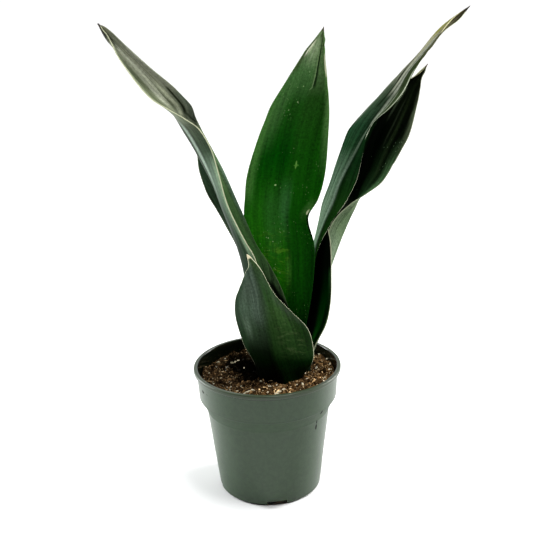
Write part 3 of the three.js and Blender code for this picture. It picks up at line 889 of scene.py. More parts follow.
# Side runs from -1 at the left margin to 1 at the right one, and share from 0 at the foot to 1 at the tip.
# A streak is: on the inner face or not, side at its start and end, half width, share at its start and end,
# fade of its ends, tone, strength. A mark is: on the inner face or not, side, share, half width, half
# length, tone, strength. A speck cluster is: side and share, half width and half length.
leafLooks = {
    "leafCentre": {
        # the inner tones hold painted shade: the right half is darker than the left
        "inner": {
            "left": [(0.1, 14, 70, 2), (0.25, 26, 98, 3), (0.42, 25, 88, 10), (0.58, 0, 60, 0),
                     (0.7, 24, 70, 16), (0.8, 66, 104, 56), (0.88, 130, 152, 112), (0.95, 110, 134, 92)],
            "right": [(0.1, 18, 70, 10), (0.22, 10, 66, 3), (0.42, 13, 74, 4), (0.58, 14, 70, 5),
                      (0.72, 30, 70, 20), (0.8, 78, 108, 64), (0.95, 84, 108, 68)],
        },
        "streaks": [
            # painted sheen along both margins and the midrib, painted shade down the lower right half and
            # below the notch, painted highlights near the notch and low on the blade
            (True, -1.0, -1.0, 0.3, 0.46, 0.74, 0.06, (64, 112, 48), 0.85),
            (True, 1.0, 1.0, 0.26, 0.58, 0.97, 0.06, (78, 122, 62), 0.8),
            (True, 1.0, 1.0, 0.5, 0.1, 0.34, 0.06, (4, 46, 2), 0.75),
            (True, 0.99, 0.97, 0.08, 0.33, 0.405, 0.008, (1, 22, 1), 0.95),
            (True, 0.02, 0.02, 0.24, 0.36, 0.5, 0.06, (48, 98, 48), 0.75),
            (True, -0.3, -0.3, 0.3, 0.3, 0.48, 0.06, (40, 94, 34), 0.6),
            (True, 0.07, 0.07, 0.14, 0.24, 0.29, 0.03, (50, 108, 30), 0.85),
            (True, 0.8, 0.9, 0.25, 0.39, 0.45, 0.03, (70, 112, 54), 0.5),
            (True, -0.75, -0.75, 0.35, 0.62, 0.84, 0.06, (60, 98, 50), 0.6),
            # the short crease under the tip, as painted shade with a painted highlight beside it
            (True, 0.17, 0.3, 0.13, 0.75, 0.95, 0.01, (6, 26, 4), 0.92),
            (True, 0.08, 0.14, 0.035, 0.75, 0.94, 0.01, (128, 154, 108), 0.75),
            (True, 0.0, 0.1, 0.03, 0.742, 0.752, 0.003, (110, 140, 92), 0.7),
            (True, -1.0, -0.95, 0.3, 0.8, 0.93, 0.02, (40, 52, 20), 0.7),
            (True, -0.74, -0.74, 0.2, 0.86, 0.915, 0.02, (206, 214, 180), 0.55),
            (True, -0.84, -0.8, 0.07, 0.85, 0.91, 0.01, (232, 236, 206), 0.8),
            (True, -0.4, -0.3, 0.06, 0.84, 0.93, 0.02, (150, 168, 136), 0.6),
            (True, -0.1, 0.3, 0.4, 0.93, 1.0, 0.02, (44, 54, 26), 0.8),
        ],
        "marks": [
            (True, 0.91, 0.405, 0.05, 0.015, (206, 210, 168), 0.85),
            (True, 0.97, 0.82, 0.07, 0.05, (230, 230, 196), 0.9),
            (True, 0.9, 0.9, 0.16, 0.012, (40, 44, 22), 0.9),
            (True, 0.18, 0.562, 0.03, 0.009, (104, 156, 70), 0.8),
            (True, 0.19, 0.561, 0.08, 0.0025, (84, 140, 52), 0.6),
            (True, -0.26, 0.509, 0.03, 0.004, (150, 190, 120), 0.9),
        ],
        "speckClusters": [
            ((-0.25, 0.745), (0.35, 0.03)), ((-0.62, 0.745), (0.12, 0.012)), ((-0.3, 0.7), (0.2, 0.03)),
            ((-0.22, 0.8), (0.12, 0.012)), ((-0.69, 0.638), (0.1, 0.012)), ((-0.45, 0.322), (0.2, 0.018)),
            ((-0.26, 0.266), (0.12, 0.012)), ((0.13, 0.268), (0.1, 0.008)), ((0.02, 0.44), (0.1, 0.01)),
        ],
        "bands": 0.55, "bandsInner": True, "bandSpan": (0.23, 0.33), "bandSides": (-0.7, 0.1),
        "bandColour": (88, 136, 34), "veins": 0.3, "mottle": 0.32, "specks": 0.5,
        "speckColour": (170, 200, 140), "margin": 0.0003, "marginFrom": 0.42, "marginSides": (0.5, 0.6),
        "marginColour": (96, 134, 66), "tipFrom": 0.965, "tipColour": (64, 62, 34),
    },
    "leafLeft": {
        # both faces' tones hold painted sheen and painted shade; the pale sage high on the inner face is
        # painted sheen
        "outer": {
            "left": [(0.2, 30, 46, 30), (0.32, 24, 44, 24), (0.38, 66, 86, 68), (0.42, 70, 88, 70),
                     (0.5, 40, 52, 38), (0.58, 52, 60, 46), (0.7, 96, 104, 82), (0.9, 84, 88, 66),
                     (0.95, 10, 14, 4)],
            "right": [(0.15, 60, 76, 58), (0.5, 70, 84, 66), (0.9, 110, 118, 96)],
        },
        "inner": {
            "left": [(0.2, 96, 107, 93), (0.5, 60, 76, 52), (0.62, 96, 104, 82), (0.7, 118, 124, 102),
                     (0.9, 150, 158, 132), (1.0, 96, 100, 72)],
            "right": [(0.18, 54, 74, 46), (0.3, 50, 82, 42), (0.47, 66, 90, 54), (0.62, 90, 98, 80),
                      (0.7, 96, 102, 84), (0.85, 138, 140, 124), (0.92, 116, 120, 102),
                      (1.0, 84, 84, 60)],
        },
        "streaks": [
            # painted sheen up the middle, with finer lines of painted crease shade beside it
            (True, -0.15, -0.15, 0.34, 0.72, 0.93, 0.04, (204, 209, 186), 0.92),
            (True, -0.66, -0.66, 0.34, 0.68, 0.86, 0.05, (84, 92, 68), 0.95),
            (True, 0.04, 0.04, 0.06, 0.69, 0.83, 0.03, (76, 84, 58), 0.9),
            (True, 0.27, 0.2, 0.2, 0.64, 0.79, 0.02, (176, 182, 156), 0.9),
            (True, 0.36, 0.36, 0.09, 0.78, 0.93, 0.03, (80, 84, 64), 0.85),
            # painted shadow and painted grey sheen in the wedge where the blade turns over
            (True, 1.0, 1.0, 0.55, 0.62, 0.745, 0.02, (88, 96, 82), 0.95),
            (True, 0.53, 0.62, 0.12, 0.655, 0.765, 0.012, (16, 24, 8), 0.95),
            (True, 0.95, 0.53, 0.14, 0.61, 0.66, 0.01, (40, 48, 34), 0.8),
            (True, -0.95, -0.95, 0.4, 0.93, 1.0, 0.02, (26, 24, 14), 0.95),
            (True, 1.0, 1.0, 0.25, 0.36, 0.46, 0.03, (86, 108, 92), 0.7),
            # painted shadow that the front leaf casts on this blade
            (True, 0.98, 0.68, 0.15, 0.155, 0.215, 0.01, (1, 2, 1), 0.95),
            # on the outer face: painted highlights along the blade, with painted shade beside them
            (False, -0.4, -0.4, 0.14, 0.42, 0.6, 0.04, (116, 130, 118), 0.9),
            (False, -0.7, -0.7, 0.35, 0.4, 0.46, 0.03, (76, 92, 78), 0.7),
            (False, -1.0, -1.0, 0.25, 0.26, 0.46, 0.03, (112, 134, 106), 0.7),
            (False, -0.3, -0.3, 0.14, 0.24, 0.4, 0.04, (16, 30, 16), 0.8),
            (False, -0.2, -0.2, 0.12, 0.34, 0.62, 0.04, (20, 32, 20), 0.85),
            (False, -0.45, -0.45, 0.4, 0.22, 0.385, 0.04, (22, 38, 24), 0.85),
        ],
        "bands": 0.05, "veins": 0.5, "marginSides": (0.9, 0.1), "tipFrom": 0.975,
        "tipColour": (36, 28, 24),
    },
    "leafFront": {
        # the paler slate of the right half is painted sheen and the near-black foot is painted shade
        "outer": {
            "left": [(0.14, 5, 24, 3), (0.22, 4, 26, 3), (0.32, 26, 52, 18), (0.5, 36, 60, 26),
                     (0.62, 28, 52, 22), (0.78, 42, 62, 38), (0.93, 54, 76, 44)],
            "right": [(0.16, 3, 5, 2), (0.24, 2, 14, 1), (0.3, 8, 18, 7), (0.4, 36, 52, 34),
                      (0.52, 56, 72, 57), (0.68, 56, 68, 56), (0.82, 50, 64, 52), (0.93, 76, 97, 72)],
        },
        "streaks": [
            # painted sheen and a painted highlight on the right half, painted shade along both margins and
            # low by the foot
            (False, 0.16, 0.16, 0.3, 0.46, 0.9, 0.06, (72, 88, 74), 0.7),
            (False, 0.6, 0.6, 0.2, 0.38, 0.46, 0.05, (84, 100, 84), 0.45),
            (False, -0.05, -0.05, 0.22, 0.48, 0.9, 0.06, (52, 70, 50), 0.6),
            (False, 1.0, 1.0, 0.4, 0.3, 0.74, 0.06, (20, 40, 20), 0.85),
            (False, -0.95, -0.95, 0.5, 0.3, 0.6, 0.06, (4, 26, 0), 0.85),
            (False, -0.3, -0.3, 0.35, 0.1, 0.2, 0.05, (16, 46, 12), 0.8),
        ],
        "bands": 0.28, "bandSpan": (0.28, 0.44), "bandSides": (-0.75, -0.2), "bandColour": (80, 96, 58),
        "veins": 0.36, "mottle": 0.32, "marginSides": (1.0, 0.7), "marginFlat": 0.3,
        "marginColour": (220, 222, 188), "specks": 0.03, "tipFrom": 0.95, "tipColour": (226, 216, 182),
    },
    "leafRight": {
        # the tones hold painted light: the blue-grey right half and the pale grey-brown towards the tip are
        # painted sheen, the dark left half is painted shade
        "outer": {
            "left": [(0.2, 4, 22, 2), (0.36, 12, 38, 8), (0.45, 6, 26, 8), (0.56, 6, 24, 8),
                     (0.64, 36, 48, 28), (0.78, 38, 48, 28), (0.86, 64, 66, 46), (0.92, 84, 82, 62),
                     (0.97, 48, 44, 32)],
            "right": [(0.2, 82, 104, 84), (0.34, 80, 100, 80), (0.42, 62, 82, 64), (0.5, 20, 44, 24),
                      (0.58, 22, 46, 28), (0.66, 40, 56, 40), (0.72, 52, 62, 48), (0.8, 118, 120, 104),
                      (0.92, 124, 122, 90), (0.97, 96, 90, 44)],
        },
        "streaks": [
            # the ridge line down the back, as a painted highlight with painted shade beside it
            (False, 0.11, 0.02, 0.13, 0.3, 0.46, 0.03, (96, 116, 98), 0.9),
            (False, 0.02, -0.13, 0.11, 0.46, 0.57, 0.02, (80, 98, 80), 0.9),
            (False, -0.13, -0.05, 0.12, 0.58, 0.68, 0.02, (124, 134, 118), 0.9),
            (False, -0.05, -0.02, 0.14, 0.69, 0.86, 0.02, (156, 162, 146), 0.95),
            (False, 0.3, 0.25, 0.12, 0.64, 0.73, 0.02, (6, 18, 5), 0.92),
            (False, 0.25, 0.62, 0.13, 0.73, 0.83, 0.01, (6, 14, 3), 0.92),
            (False, 0.16, 0.14, 0.12, 0.7, 0.88, 0.03, (150, 154, 136), 0.85),
            (False, -0.24, -0.24, 0.06, 0.6, 0.7, 0.02, (110, 120, 102), 0.7),
            (False, 0.95, 0.95, 0.22, 0.6, 0.78, 0.03, (96, 104, 92), 0.7),
            # pale lower margin, and the pale fold under the tip
            (False, -0.45, -0.78, 0.09, 0.53, 0.77, 0.01, (160, 168, 148), 0.95),
            (False, -0.05, 0.3, 0.14, 0.885, 0.965, 0.008, (232, 228, 176), 1.0),
            (False, -0.9, -0.9, 0.5, 0.92, 0.985, 0.01, (24, 24, 12), 0.9),
            (False, 0.6, 0.6, 0.4, 0.88, 0.96, 0.015, (104, 104, 44), 0.9),
        ],
        "bands": 0.03, "veins": 0.5, "marginSides": (1.0, 0.2), "marginFlat": 1.0, "margin": 0.00034,
        "marginColour": (196, 202, 172), "specular": 0.0, "tipFrom": 0.972, "tipColour": (48, 44, 36),
    },
    "leafRightInner": {
        "inner": {
            # the near-black left half is painted shade
            "left": [(0.3, 22, 28, 20), (0.5, 2, 6, 2), (0.9, 6, 9, 4)],
            "right": [(0.3, 34, 52, 30), (0.48, 22, 44, 22), (0.58, 20, 38, 18), (0.7, 8, 14, 6),
                      (0.9, 12, 18, 7)],
        },
        "outer": {
            "left": [(0.2, 100, 114, 92), (0.5, 84, 98, 72), (0.9, 70, 84, 60)],
            "right": [(0.2, 110, 124, 104), (0.3, 90, 109, 80), (0.38, 66, 84, 58), (0.5, 98, 110, 82)],
        },
        "streaks": [
            # painted shadow down the trough beside the keel, painted sheen along the right margin
            (True, 0.05, 0.1, 0.36, 0.44, 0.72, 0.05, (0, 2, 0), 0.9),
            (True, 0.3, 0.3, 0.05, 0.66, 0.8, 0.04, (50, 60, 44), 0.45),
            (True, 0.5, 0.46, 0.1, 0.55, 0.85, 0.04, (34, 46, 26), 0.5),
            (True, -0.45, -0.5, 0.22, 0.5, 0.74, 0.04, (18, 44, 18), 0.8),
            (True, 1.0, 1.0, 0.24, 0.68, 0.84, 0.06, (84, 96, 72), 0.9),
            (True, 0.04, 0.08, 0.07, 0.74, 0.84, 0.03, (60, 72, 54), 0.7),
            (True, 0.95, 0.95, 0.35, 0.48, 0.66, 0.06, (52, 78, 48), 0.85),
            (True, -0.35, -0.35, 0.3, 0.36, 0.44, 0.04, (50, 62, 46), 0.7),
            (True, -0.6, 0.3, 0.16, 0.93, 0.99, 0.008, (216, 212, 160), 0.9),
            (False, 1.0, 1.0, 0.3, 0.24, 0.5, 0.06, (98, 114, 88), 0.8),
        ],
        "speckClusters": [((0.8, 0.62), (0.3, 0.1)), ((0.6, 0.66), (0.3, 0.06))],
        "bands": 0.03, "bandColour": (34, 44, 26), "veins": 0.7, "specks": 0.3,
        "speckColour": (110, 134, 104), "marginSides": (0.9, 0.4), "specular": 0.004, "tipFrom": 0.975,
        "tipColour": (74, 56, 34),
    },
    "leafRightLow": {
        "inner": {
            # the near-black left half is painted shade
            "left": [(0.3, 2, 3, 2), (0.9, 3, 4, 3)],
            "right": [(0.3, 4, 38, 4), (0.46, 0, 24, 1), (0.56, 0, 13, 1), (0.7, 1, 3, 1)],
        },
        "streaks": [
            # painted shade over the left of the blade, painted sheen along the right margin
            (True, -0.3, -0.1, 0.6, 0.4, 1.0, 0.1, (0, 1, 0), 0.95),
            (True, 1.0, 1.0, 0.4, 0.26, 0.66, 0.04, (28, 58, 26), 0.75),
        ],
        "bands": 0.0, "specks": 0.0, "marginSides": (0.3, 0.6), "margin": 0.00014, "specular": 0.0,
    },
    "leafLeftLow": {
        "inner": {
            "left": [(0.48, 76, 94, 76), (0.6, 46, 64, 46), (0.72, 54, 74, 54), (0.9, 52, 70, 55)],
            "right": [(0.5, 60, 80, 60), (0.9, 50, 70, 50)],
        },
        "marginSides": (0.2, 0.2), "specular": 0.015,
    },
}

leafPieces = [
    # piece, node it stands for, record slot
    ("leafCentre", "leaf_centre", "leaf_face"),
    ("leafLeft", "leaf_left", "leaf_back"),
    ("leafFront", "leaf_front", "leaf_back"),
    ("leafRight", "leaf_right", "leaf_back"),
    ("leafRightInner", "leaf_right_inner", "leaf_face"),
    ("leafRightLow", "leaf_right_low", "leaf_face"),
    ("leafLeftLow", "leaf_left_low", "leaf_back"),
]


def makeLeaf(name, node, slot, seed):
    mesh = leafMesh(name, leafStations[node], marginPushes[node], seed)
    look = {**plainLook, **leafLooks[name]}
    piece = addObject(name, mesh, leafMaterial(name + "Skin", look))
    finishPiece(piece, slot, node)


for number, (pieceName, nodeName, slotName) in enumerate(leafPieces):
    makeLeaf(pieceName, nodeName, slotName, number * leafForm["seedStep"])
print("leaves are drawn:", len(leafPieces))


# Pot

potForm = {
    "rimRadius": 57.0, "height": 101.5, "lipHeight": 2.8, "lipOverhang": 2.2,
    "collarFoot": 77.5, "collarFootRadius": 53.4, "collarStep": 1.2, "boreStep": 0.8, "shoulderFoot": 68.0,
    "baseRadius": 40.0, "neckRadius": 49.1, "wall": 1.3, "floor": 1.5, "floorRound": 2.0,
    "sides": 176, "arcSteps": 5, "sharpAngle": 38,
    "slotCount": 4, "slotWidth": 15.0, "slotHeight": 3.8, "slotReach": 7.0, "slotPast": 4.0,
    "slotTurn": 7.0,
}
potForm["taper"] = (potForm["neckRadius"] - potForm["baseRadius"]) / potForm["collarFoot"]
potForm["shoulderRadius"] = potForm["baseRadius"] + potForm["taper"] * potForm["shoulderFoot"]
potForm["collarTop"] = potForm["height"] - potForm["lipHeight"]
potForm["collarTopRadius"] = potForm["rimRadius"] - potForm["lipOverhang"]


def boreRadius(z):
    pot = potForm
    foot, top = pot["shoulderFoot"], pot["collarFoot"]
    if z < foot:
        return pot["baseRadius"] + pot["taper"] * z - pot["wall"]
    if z < top:
        start, end = pot["shoulderRadius"], pot["collarFootRadius"] - pot["collarStep"]
        return start + (end - start) * (z - foot) / (top - foot) - pot["wall"]
    narrow = pot["collarFootRadius"] - pot["boreStep"]
    rise = (z - top) / (pot["collarTop"] - top)
    return narrow + (pot["collarTopRadius"] - narrow) * rise - pot["wall"]


def roundedProfile(corners, steps):
    # the profile with a curve of a few steps at each corner that has a rounding
    points = []
    for k, (r, z, bend) in enumerate(corners):
        here = Vector((r, z))
        if bend <= 0:
            points.append(here)
            continue
        before = Vector(corners[k - 1][:2]) - here
        after = Vector(corners[k + 1][:2]) - here
        reach = min(bend, before.length * 0.45, after.length * 0.45)
        start = here + before.normalized() * reach
        end = here + after.normalized() * reach
        for j in range(steps + 1):
            t = j / steps
            points.append(start * (1 - t) ** 2 + here * 2 * t * (1 - t) + end * t ** 2)
    return points


def potCorners():
    # radius, height and rounding of each corner of the profile
    pot = potForm
    top, rim, height = pot["collarTop"], pot["rimRadius"], pot["height"]
    foot, shoulder = pot["collarFoot"], pot["shoulderFoot"]
    floor = pot["floor"]
    return [
        # under the floor and round the base
        (0, 0, 0),
        (pot["baseRadius"] - 3.2, 0, 0.4),
        (pot["baseRadius"] - 1.4, 0, 0.8),
        (pot["baseRadius"], 1.2, 1.2),
        # wall, shoulder and collar
        (pot["shoulderRadius"], shoulder, 2.5),
        (pot["collarFootRadius"] - pot["collarStep"], foot - 0.8, 0.8),
        (pot["collarFootRadius"], foot, 0.5),
        (pot["collarTopRadius"], top - 0.6, 0.4),
        # lip
        (rim - 0.3, top - 0.3, 0.35),
        (rim, top + 0.4, 0.5),
        (rim, height - 0.6, 0.9),
        (rim - 0.7, height, 0.7),
        (pot["collarTopRadius"] - pot["wall"] + 0.4, height, 0.6),
        # bore, down to the floor
        (boreRadius(top), top, 0.8),
        (boreRadius(foot), foot, 1.2),
        (boreRadius(shoulder), shoulder, 2.0),
        (boreRadius(floor + pot["floorRound"]), floor + pot["floorRound"], 1.0),
        (boreRadius(0) - pot["floorRound"], floor, 1.0),
        (0, floor, 0),
    ]


def slotCutter(number):
    # a box through the corner of the floor
    pot = potForm
    reach = pot["slotReach"] + pot["slotPast"]
    centre = Vector((0, reach / 2 - pot["baseRadius"] - pot["slotPast"], pot["slotHeight"] / 2 - 1))
    half = Vector((pot["slotWidth"] / 2, reach / 2, pot["slotHeight"] / 2 + 1))
    turn = Matrix.Rotation(math.radians(pot["slotTurn"] + 360 * number / pot["slotCount"]), 3, "Z")
    points = [turn @ (centre + Vector((half.x * i, half.y * j, half.z * h)))
              for i in (-1, 1) for j in (-1, 1) for h in (-1, 1)]
    faces = [(0, 1, 3, 2), (4, 6, 7, 5), (0, 4, 5, 1), (2, 3, 7, 6), (0, 2, 6, 4), (1, 5, 7, 3)]
    name = f"slotCutter{number}"
    return addObject(name, closedMesh(name, points, faces, False))


def makePot(material):
    pot = potForm
    profile = roundedProfile(potCorners(), pot["arcSteps"])
    sides = pot["sides"]
    points = [(0, 0, profile[0].y)]
    for spot in profile[1:-1]:
        for side in range(sides):
            angle = 2 * math.pi * side / sides
            points.append((spot.x * math.cos(angle), spot.x * math.sin(angle), spot.y))
    points.append((0, 0, profile[-1].y))
    faces = shellFaces(len(profile) - 2, sides)
    piece = addObject("potShell", closedMesh("potShell", points, faces), material)
    cutters = [slotCutter(number) for number in range(pot["slotCount"])]
    for cutter in cutters:
        cut = piece.modifiers.new("slot", "BOOLEAN")
        cut.object = cutter
        cut.operation = "DIFFERENCE"
        cut.solver = "EXACT"
    bakeModifiers(piece)
    for cutter in cutters:
        bpy.data.objects.remove(cutter)
    piece.data.set_sharp_from_angle(angle=math.radians(pot["sharpAngle"]))
    finishPiece(piece, "pot_plastic", "pot")


# Heights and places are in metres.
potLook = {
    "plastic": paint(46, 67, 43),
    "shade": paint(40, 60, 38),
    "lip": paint(50, 60, 42),
    # the inner wall's near-black tone is painted shade
    "inside": paint(3, 8, 2),
    # one dark tone for the worn scratches and for the painted shadow lines
    "scuffAndShade": paint(12, 17, 10),
    "roughness": 0.36,
    "specular": 0.36,
    "cloudScale": 260.0,
    "streakScale": 420.0,
    "streakStretch": (1.0, 1.0, 0.05),
    "streakStrength": 0.35,
    "fineScale": 2600.0,
    "bumpStrength": 0.2,
    "bumpDepth": 0.0003,
    # the bore is what lies inside the middle of the collar's wall, and it is painted near black as shade:
    # slope and radius at height 0
    "midWall": (0.084, 0.0459),
    "midWallBlend": 0.0004,
    "boreFoot": (0.0775, 0.079),
    "boreRoughness": 0.15,
    "lipFoot": (0.0984, 0.0990),
    "lipStrength": 0.8,
    # the ledge under the collar is duller: height, half width, half width at full strength, added roughness
    "ledge": (0.0725, 0.006, 0.0045, 0.25),
    # height, half width and strength of the painted shadow lines round the pot: at the collar's foot, on
    # the shoulder, at the base and under the lip
    "lines": [(0.0772, 0.0008, 0.6), (0.0735, 0.0048, 0.08), (0.0006, 0.0009, 0.8), (0.0977, 0.0011, 0.75)],
    "lineCore": 0.3,
    # place and half size of the small dark scratches
    "scratches": [
        ((-0.0489, -0.0234, 0.0902), (0.0022, 0.0022, 0.0012)),
        ((-0.0456, -0.0293, 0.0905), (0.0009, 0.0009, 0.0004)),
        ((0.0402, -0.0322, 0.0745), (0.0016, 0.0016, 0.0034)),
        ((0.0357, -0.0310, 0.0620), (0.0012, 0.0012, 0.0034)),
        ((0.0361, -0.0310, 0.0665), (0.0009, 0.0009, 0.0022)),
        ((-0.0490, -0.0240, 0.0850), (0.0007, 0.0007, 0.0016)),
    ],
    "wornRoughness": 0.5,
}


def potMaterial():
    look = potLook
    material, wires, shader = newMaterial("potPlastic")
    place = wires.objectPlace()
    x, y, z = wires.split(place)
    radius = wires.vector("LENGTH", wires.join(x, y, 0.0))
    cloudy = wires.cloud(place, look["cloudScale"], 5.0, 0.7)
    base = wires.mix(wires.remap(cloudy, 0.35, 0.65), look["plastic"], look["shade"])
    streakPlace = wires.vector("MULTIPLY", place, look["streakStretch"])
    streaks = wires.cloud(streakPlace, look["streakScale"], 3.0, 0.6)
    base = wires.cover(base, look["shade"], wires.remap(streaks, 0.45, 0.8, 0.0, look["streakStrength"]))

    slope, offset = look["midWall"]
    midWall = wires.calc("MULTIPLY_ADD", z, slope, offset)
    bore = wires.remap(wires.calc("SUBTRACT", midWall, radius), 0.0, look["midWallBlend"])
    bore = wires.times(bore, wires.remap(z, *look["boreFoot"]))
    # painted shade: the bore is darkened almost to black
    base = wires.cover(base, look["inside"], bore)
    outside = wires.calc("SUBTRACT", 1.0, bore)
    base = wires.cover(base, look["lip"], wires.remap(z, *look["lipFoot"]), outside, look["lipStrength"])
    # painted shadow lines round the pot
    for height, half, strength in look["lines"]:
        line = wires.around(z, height, half, half * look["lineCore"], strength)
        base = wires.cover(base, look["scuffAndShade"], line, outside)

    worn = 0.0
    for spot, size in look["scratches"]:
        local = wires.vector("DIVIDE", wires.vector("SUBTRACT", place, spot), size)
        reach = wires.calc("ADD", wires.vector("LENGTH", local), wires.spread(cloudy, 1.0))
        worn = wires.calc("MAXIMUM", worn, wires.remap(reach, 1.0, 0.7))
    base = wires.cover(base, look["scuffAndShade"], worn)
    roughness = wires.remap(bore, 0.0, 1.0, look["roughness"], look["boreRoughness"])
    roughness = wires.calc("ADD", roughness, wires.times(wires.around(z, *look["ledge"]), outside))
    roughness = wires.calc("MULTIPLY_ADD", worn, look["wornRoughness"], roughness)
    dressShader(wires, shader, base, roughness, look["specular"])
    fine = wires.cloud(place, look["fineScale"], 2.0, 0.6)
    relief = wires.calc("ADD", wires.calc("MULTIPLY", streaks, 0.5), wires.calc("MULTIPLY", fine, 0.5))
    bumpShader(wires, shader, relief, look["bumpStrength"], look["bumpDepth"])
    return material


makePot(potMaterial())
print("pot is turned and its slots are cut")


# Soil

soilForm = {
    "level": 92.6, "tilt": 0.03, "gap": 0.3, "edgeDrop": 5.0, "footRound": 4.0, "footInset": 2.2,
    "centre": (13.0, 2.0), "mound": 1.2, "moundSpread": 30.0,
    # share of the lumps, steps of the wave along x and y, phase
    "lump": 0.9,
    "waves": [(0.5, 0.31, 0.27, 0.3), (0.5, 0.31, -0.27, 1.1), (0.6, 0.12, -0.43, 1.9),
              (0.5, 0.55, 0.21, 1.6)],
    # depth, pitch and seed of the coarse and the fine roughness
    "roughness": [(1.1, 5.0, 3.0), (0.7, 1.9, 9.0)],
    "rings": 84, "sectors": 168,
    "grainRings": 60, "grainSectors": 120,
}


def soilHeight(x, y, rough=True):
    soil = soilForm
    lumps = sum(share * math.sin(x * u + y * v + phase) for share, u, v, phase in soil["waves"])
    away = math.hypot(x - soil["centre"][0], y - soil["centre"][1]) / soil["moundSpread"]
    mound = soil["mound"] * math.exp(-away * away)
    height = soil["level"] + soil["tilt"] * x + soil["lump"] * lumps + mound
    if rough:
        for depth, pitch, seed in soil["roughness"]:
            height += depth * noise.noise(Vector((x, y, seed)) / pitch)
    return height


def ringPlaces(radius, ring, sectors):
    # x and y of the points of one ring; every other ring is turned by half a step
    angles = [2 * math.pi * (sector + ring % 2 / 2) / sectors for sector in range(sectors)]
    return [(radius * math.cos(angle), radius * math.sin(angle)) for angle in angles]


def ringTriangles(ring, sectors):
    # triangles from one ring to the next
    faces = []
    lean = ring % 2
    for k in range(sectors):
        a, b = (ringSpot(sectors, ring, k + step) for step in (0, 1))
        c, d = (ringSpot(sectors, ring + 1, k + lean + step) for step in (0, 1))
        faces += [(a, c, b), (b, c, d)] if lean else [(a, c, d), (a, d, b)]
    return faces


def soilTop(radius, rings, sectors):
    # points and faces of the round, uneven surface of the mix
    points = [(0, 0, soilHeight(0, 0))]
    faces = [(0, ringSpot(sectors, 1, k), ringSpot(sectors, 1, k + 1)) for k in range(sectors)]
    for ring in range(1, rings + 1):
        points += [(x, y, soilHeight(x, y)) for x, y in ringPlaces(radius * ring / rings, ring, sectors)]
    for ring in range(1, rings):
        faces += ringTriangles(ring, sectors)
    return points, faces


def makeSoil(material):
    soil = soilForm
    rings, sectors = soil["rings"], soil["sectors"]
    edge = boreRadius(soil["level"] - soil["edgeDrop"]) - soil["gap"]
    points, faces = soilTop(edge, rings, sectors)
    floor = potForm["floor"]
    # height of each ring down the wall, and how far it stands in from there
    levels = [
        (potForm["collarFoot"], 0),
        (potForm["shoulderFoot"], 0),
        (floor + soil["footRound"], 0),
        (floor + soil["gap"], soil["footInset"]),
    ]
    for ring, (z, inset) in enumerate(levels, rings + 1):
        radius = boreRadius(z) - soil["gap"] - inset
        points += [(x, y, z) for x, y in ringPlaces(radius, ring, sectors)]
        faces += ringTriangles(ring - 1, sectors)
    bottom = len(points)
    points.append((0, 0, floor + soil["gap"]))
    last = rings + len(levels)
    faces += [(bottom, ringSpot(sectors, last, k + 1), ringSpot(sectors, last, k)) for k in range(sectors)]
    piece = addObject("soilBed", closedMesh("soilBed", points, faces), material)
    finishPiece(piece, "potting_soil", "soil")


soilLook = {
    "coarseScale": 420.0,
    "tones": [(0.34, paint(12, 9, 5)), (0.5, paint(50, 38, 24)), (0.66, paint(92, 72, 48))],
    "fineScale": 1500.0,
    "fineTone": paint(22, 15, 9),
    "fineStrength": 0.6,
    "fineRelief": 0.4,
    "roughness": 0.88,
    "bumpStrength": 0.9,
    "bumpDepth": 0.0012,
    # painted light: the mix is paler towards the right and the front, where the light falls
    "paintedLightLean": -0.6,
    "paintedLightRange": (-0.02, 0.04, 0.2, 1.0),
    "paintedLightTint": (2.1, 2.0, 1.8, 1.0),
    # painted shade, near black, beside the foot of the leaves: x, y and reach in metres
    "paintedShadeSpots": [(-0.016, 0.021, 0.026), (-0.008, 0.004, 0.023), (0.006, -0.004, 0.02),
                  (0.016, 0.006, 0.02)],
    "paintedShadeHeight": 0.094,
    "paintedShadeTone": paint(2, 2, 1),
    "paintedShadeCore": 0.55,
    "paintedShadeStrength": 0.97,
    "paintedShadeRagged": 0.02,
    "patchScale": 160.0,
}


def soilMaterial():
    look = soilLook
    material, wires, shader = newMaterial("pottingSoil")
    place = wires.objectPlace()
    coarse = wires.cloud(place, look["coarseScale"], 5.0, 0.7)
    fine = wires.cloud(place, look["fineScale"], 3.0, 0.6)
    base = wires.ramp(coarse, look["tones"])
    base = wires.cover(base, look["fineTone"], wires.remap(fine, 0.5, 0.7, 0.0, look["fineStrength"]))
    base = paintSoilLightAndShade(wires, place, base)
    dressShader(wires, shader, base, look["roughness"], 0.0)
    relief = wires.calc("ADD", coarse, wires.calc("MULTIPLY", fine, look["fineRelief"]))
    bumpShader(wires, shader, relief, look["bumpStrength"], look["bumpDepth"])
    return material


def paintSoilLightAndShade(wires, place, colour):
    look = soilLook
    patchy = wires.cloud(place, look["patchScale"], 3.0, 0.7)
    x, y, _ = wires.split(place)
    # painted light on the side where the light falls
    paintedLight = wires.remap(wires.calc("MULTIPLY_ADD", y, look["paintedLightLean"], x), *look["paintedLightRange"])
    colour = wires.cover(colour, wires.mix(1.0, colour, look["paintedLightTint"], "MULTIPLY"), paintedLight)
    # painted shade round the foot of the leaves
    ragged = wires.spread(patchy, look["paintedShadeRagged"])
    for atX, atY, reach in look["paintedShadeSpots"]:
        away = wires.vector("DISTANCE", place, (atX, atY, look["paintedShadeHeight"]))
        core = reach * look["paintedShadeCore"]
        paintedShade = wires.remap(wires.calc("ADD", away, ragged), reach, core, 0.0, look["paintedShadeStrength"])
        colour = wires.cover(colour, look["paintedShadeTone"], paintedShade)
    return colour


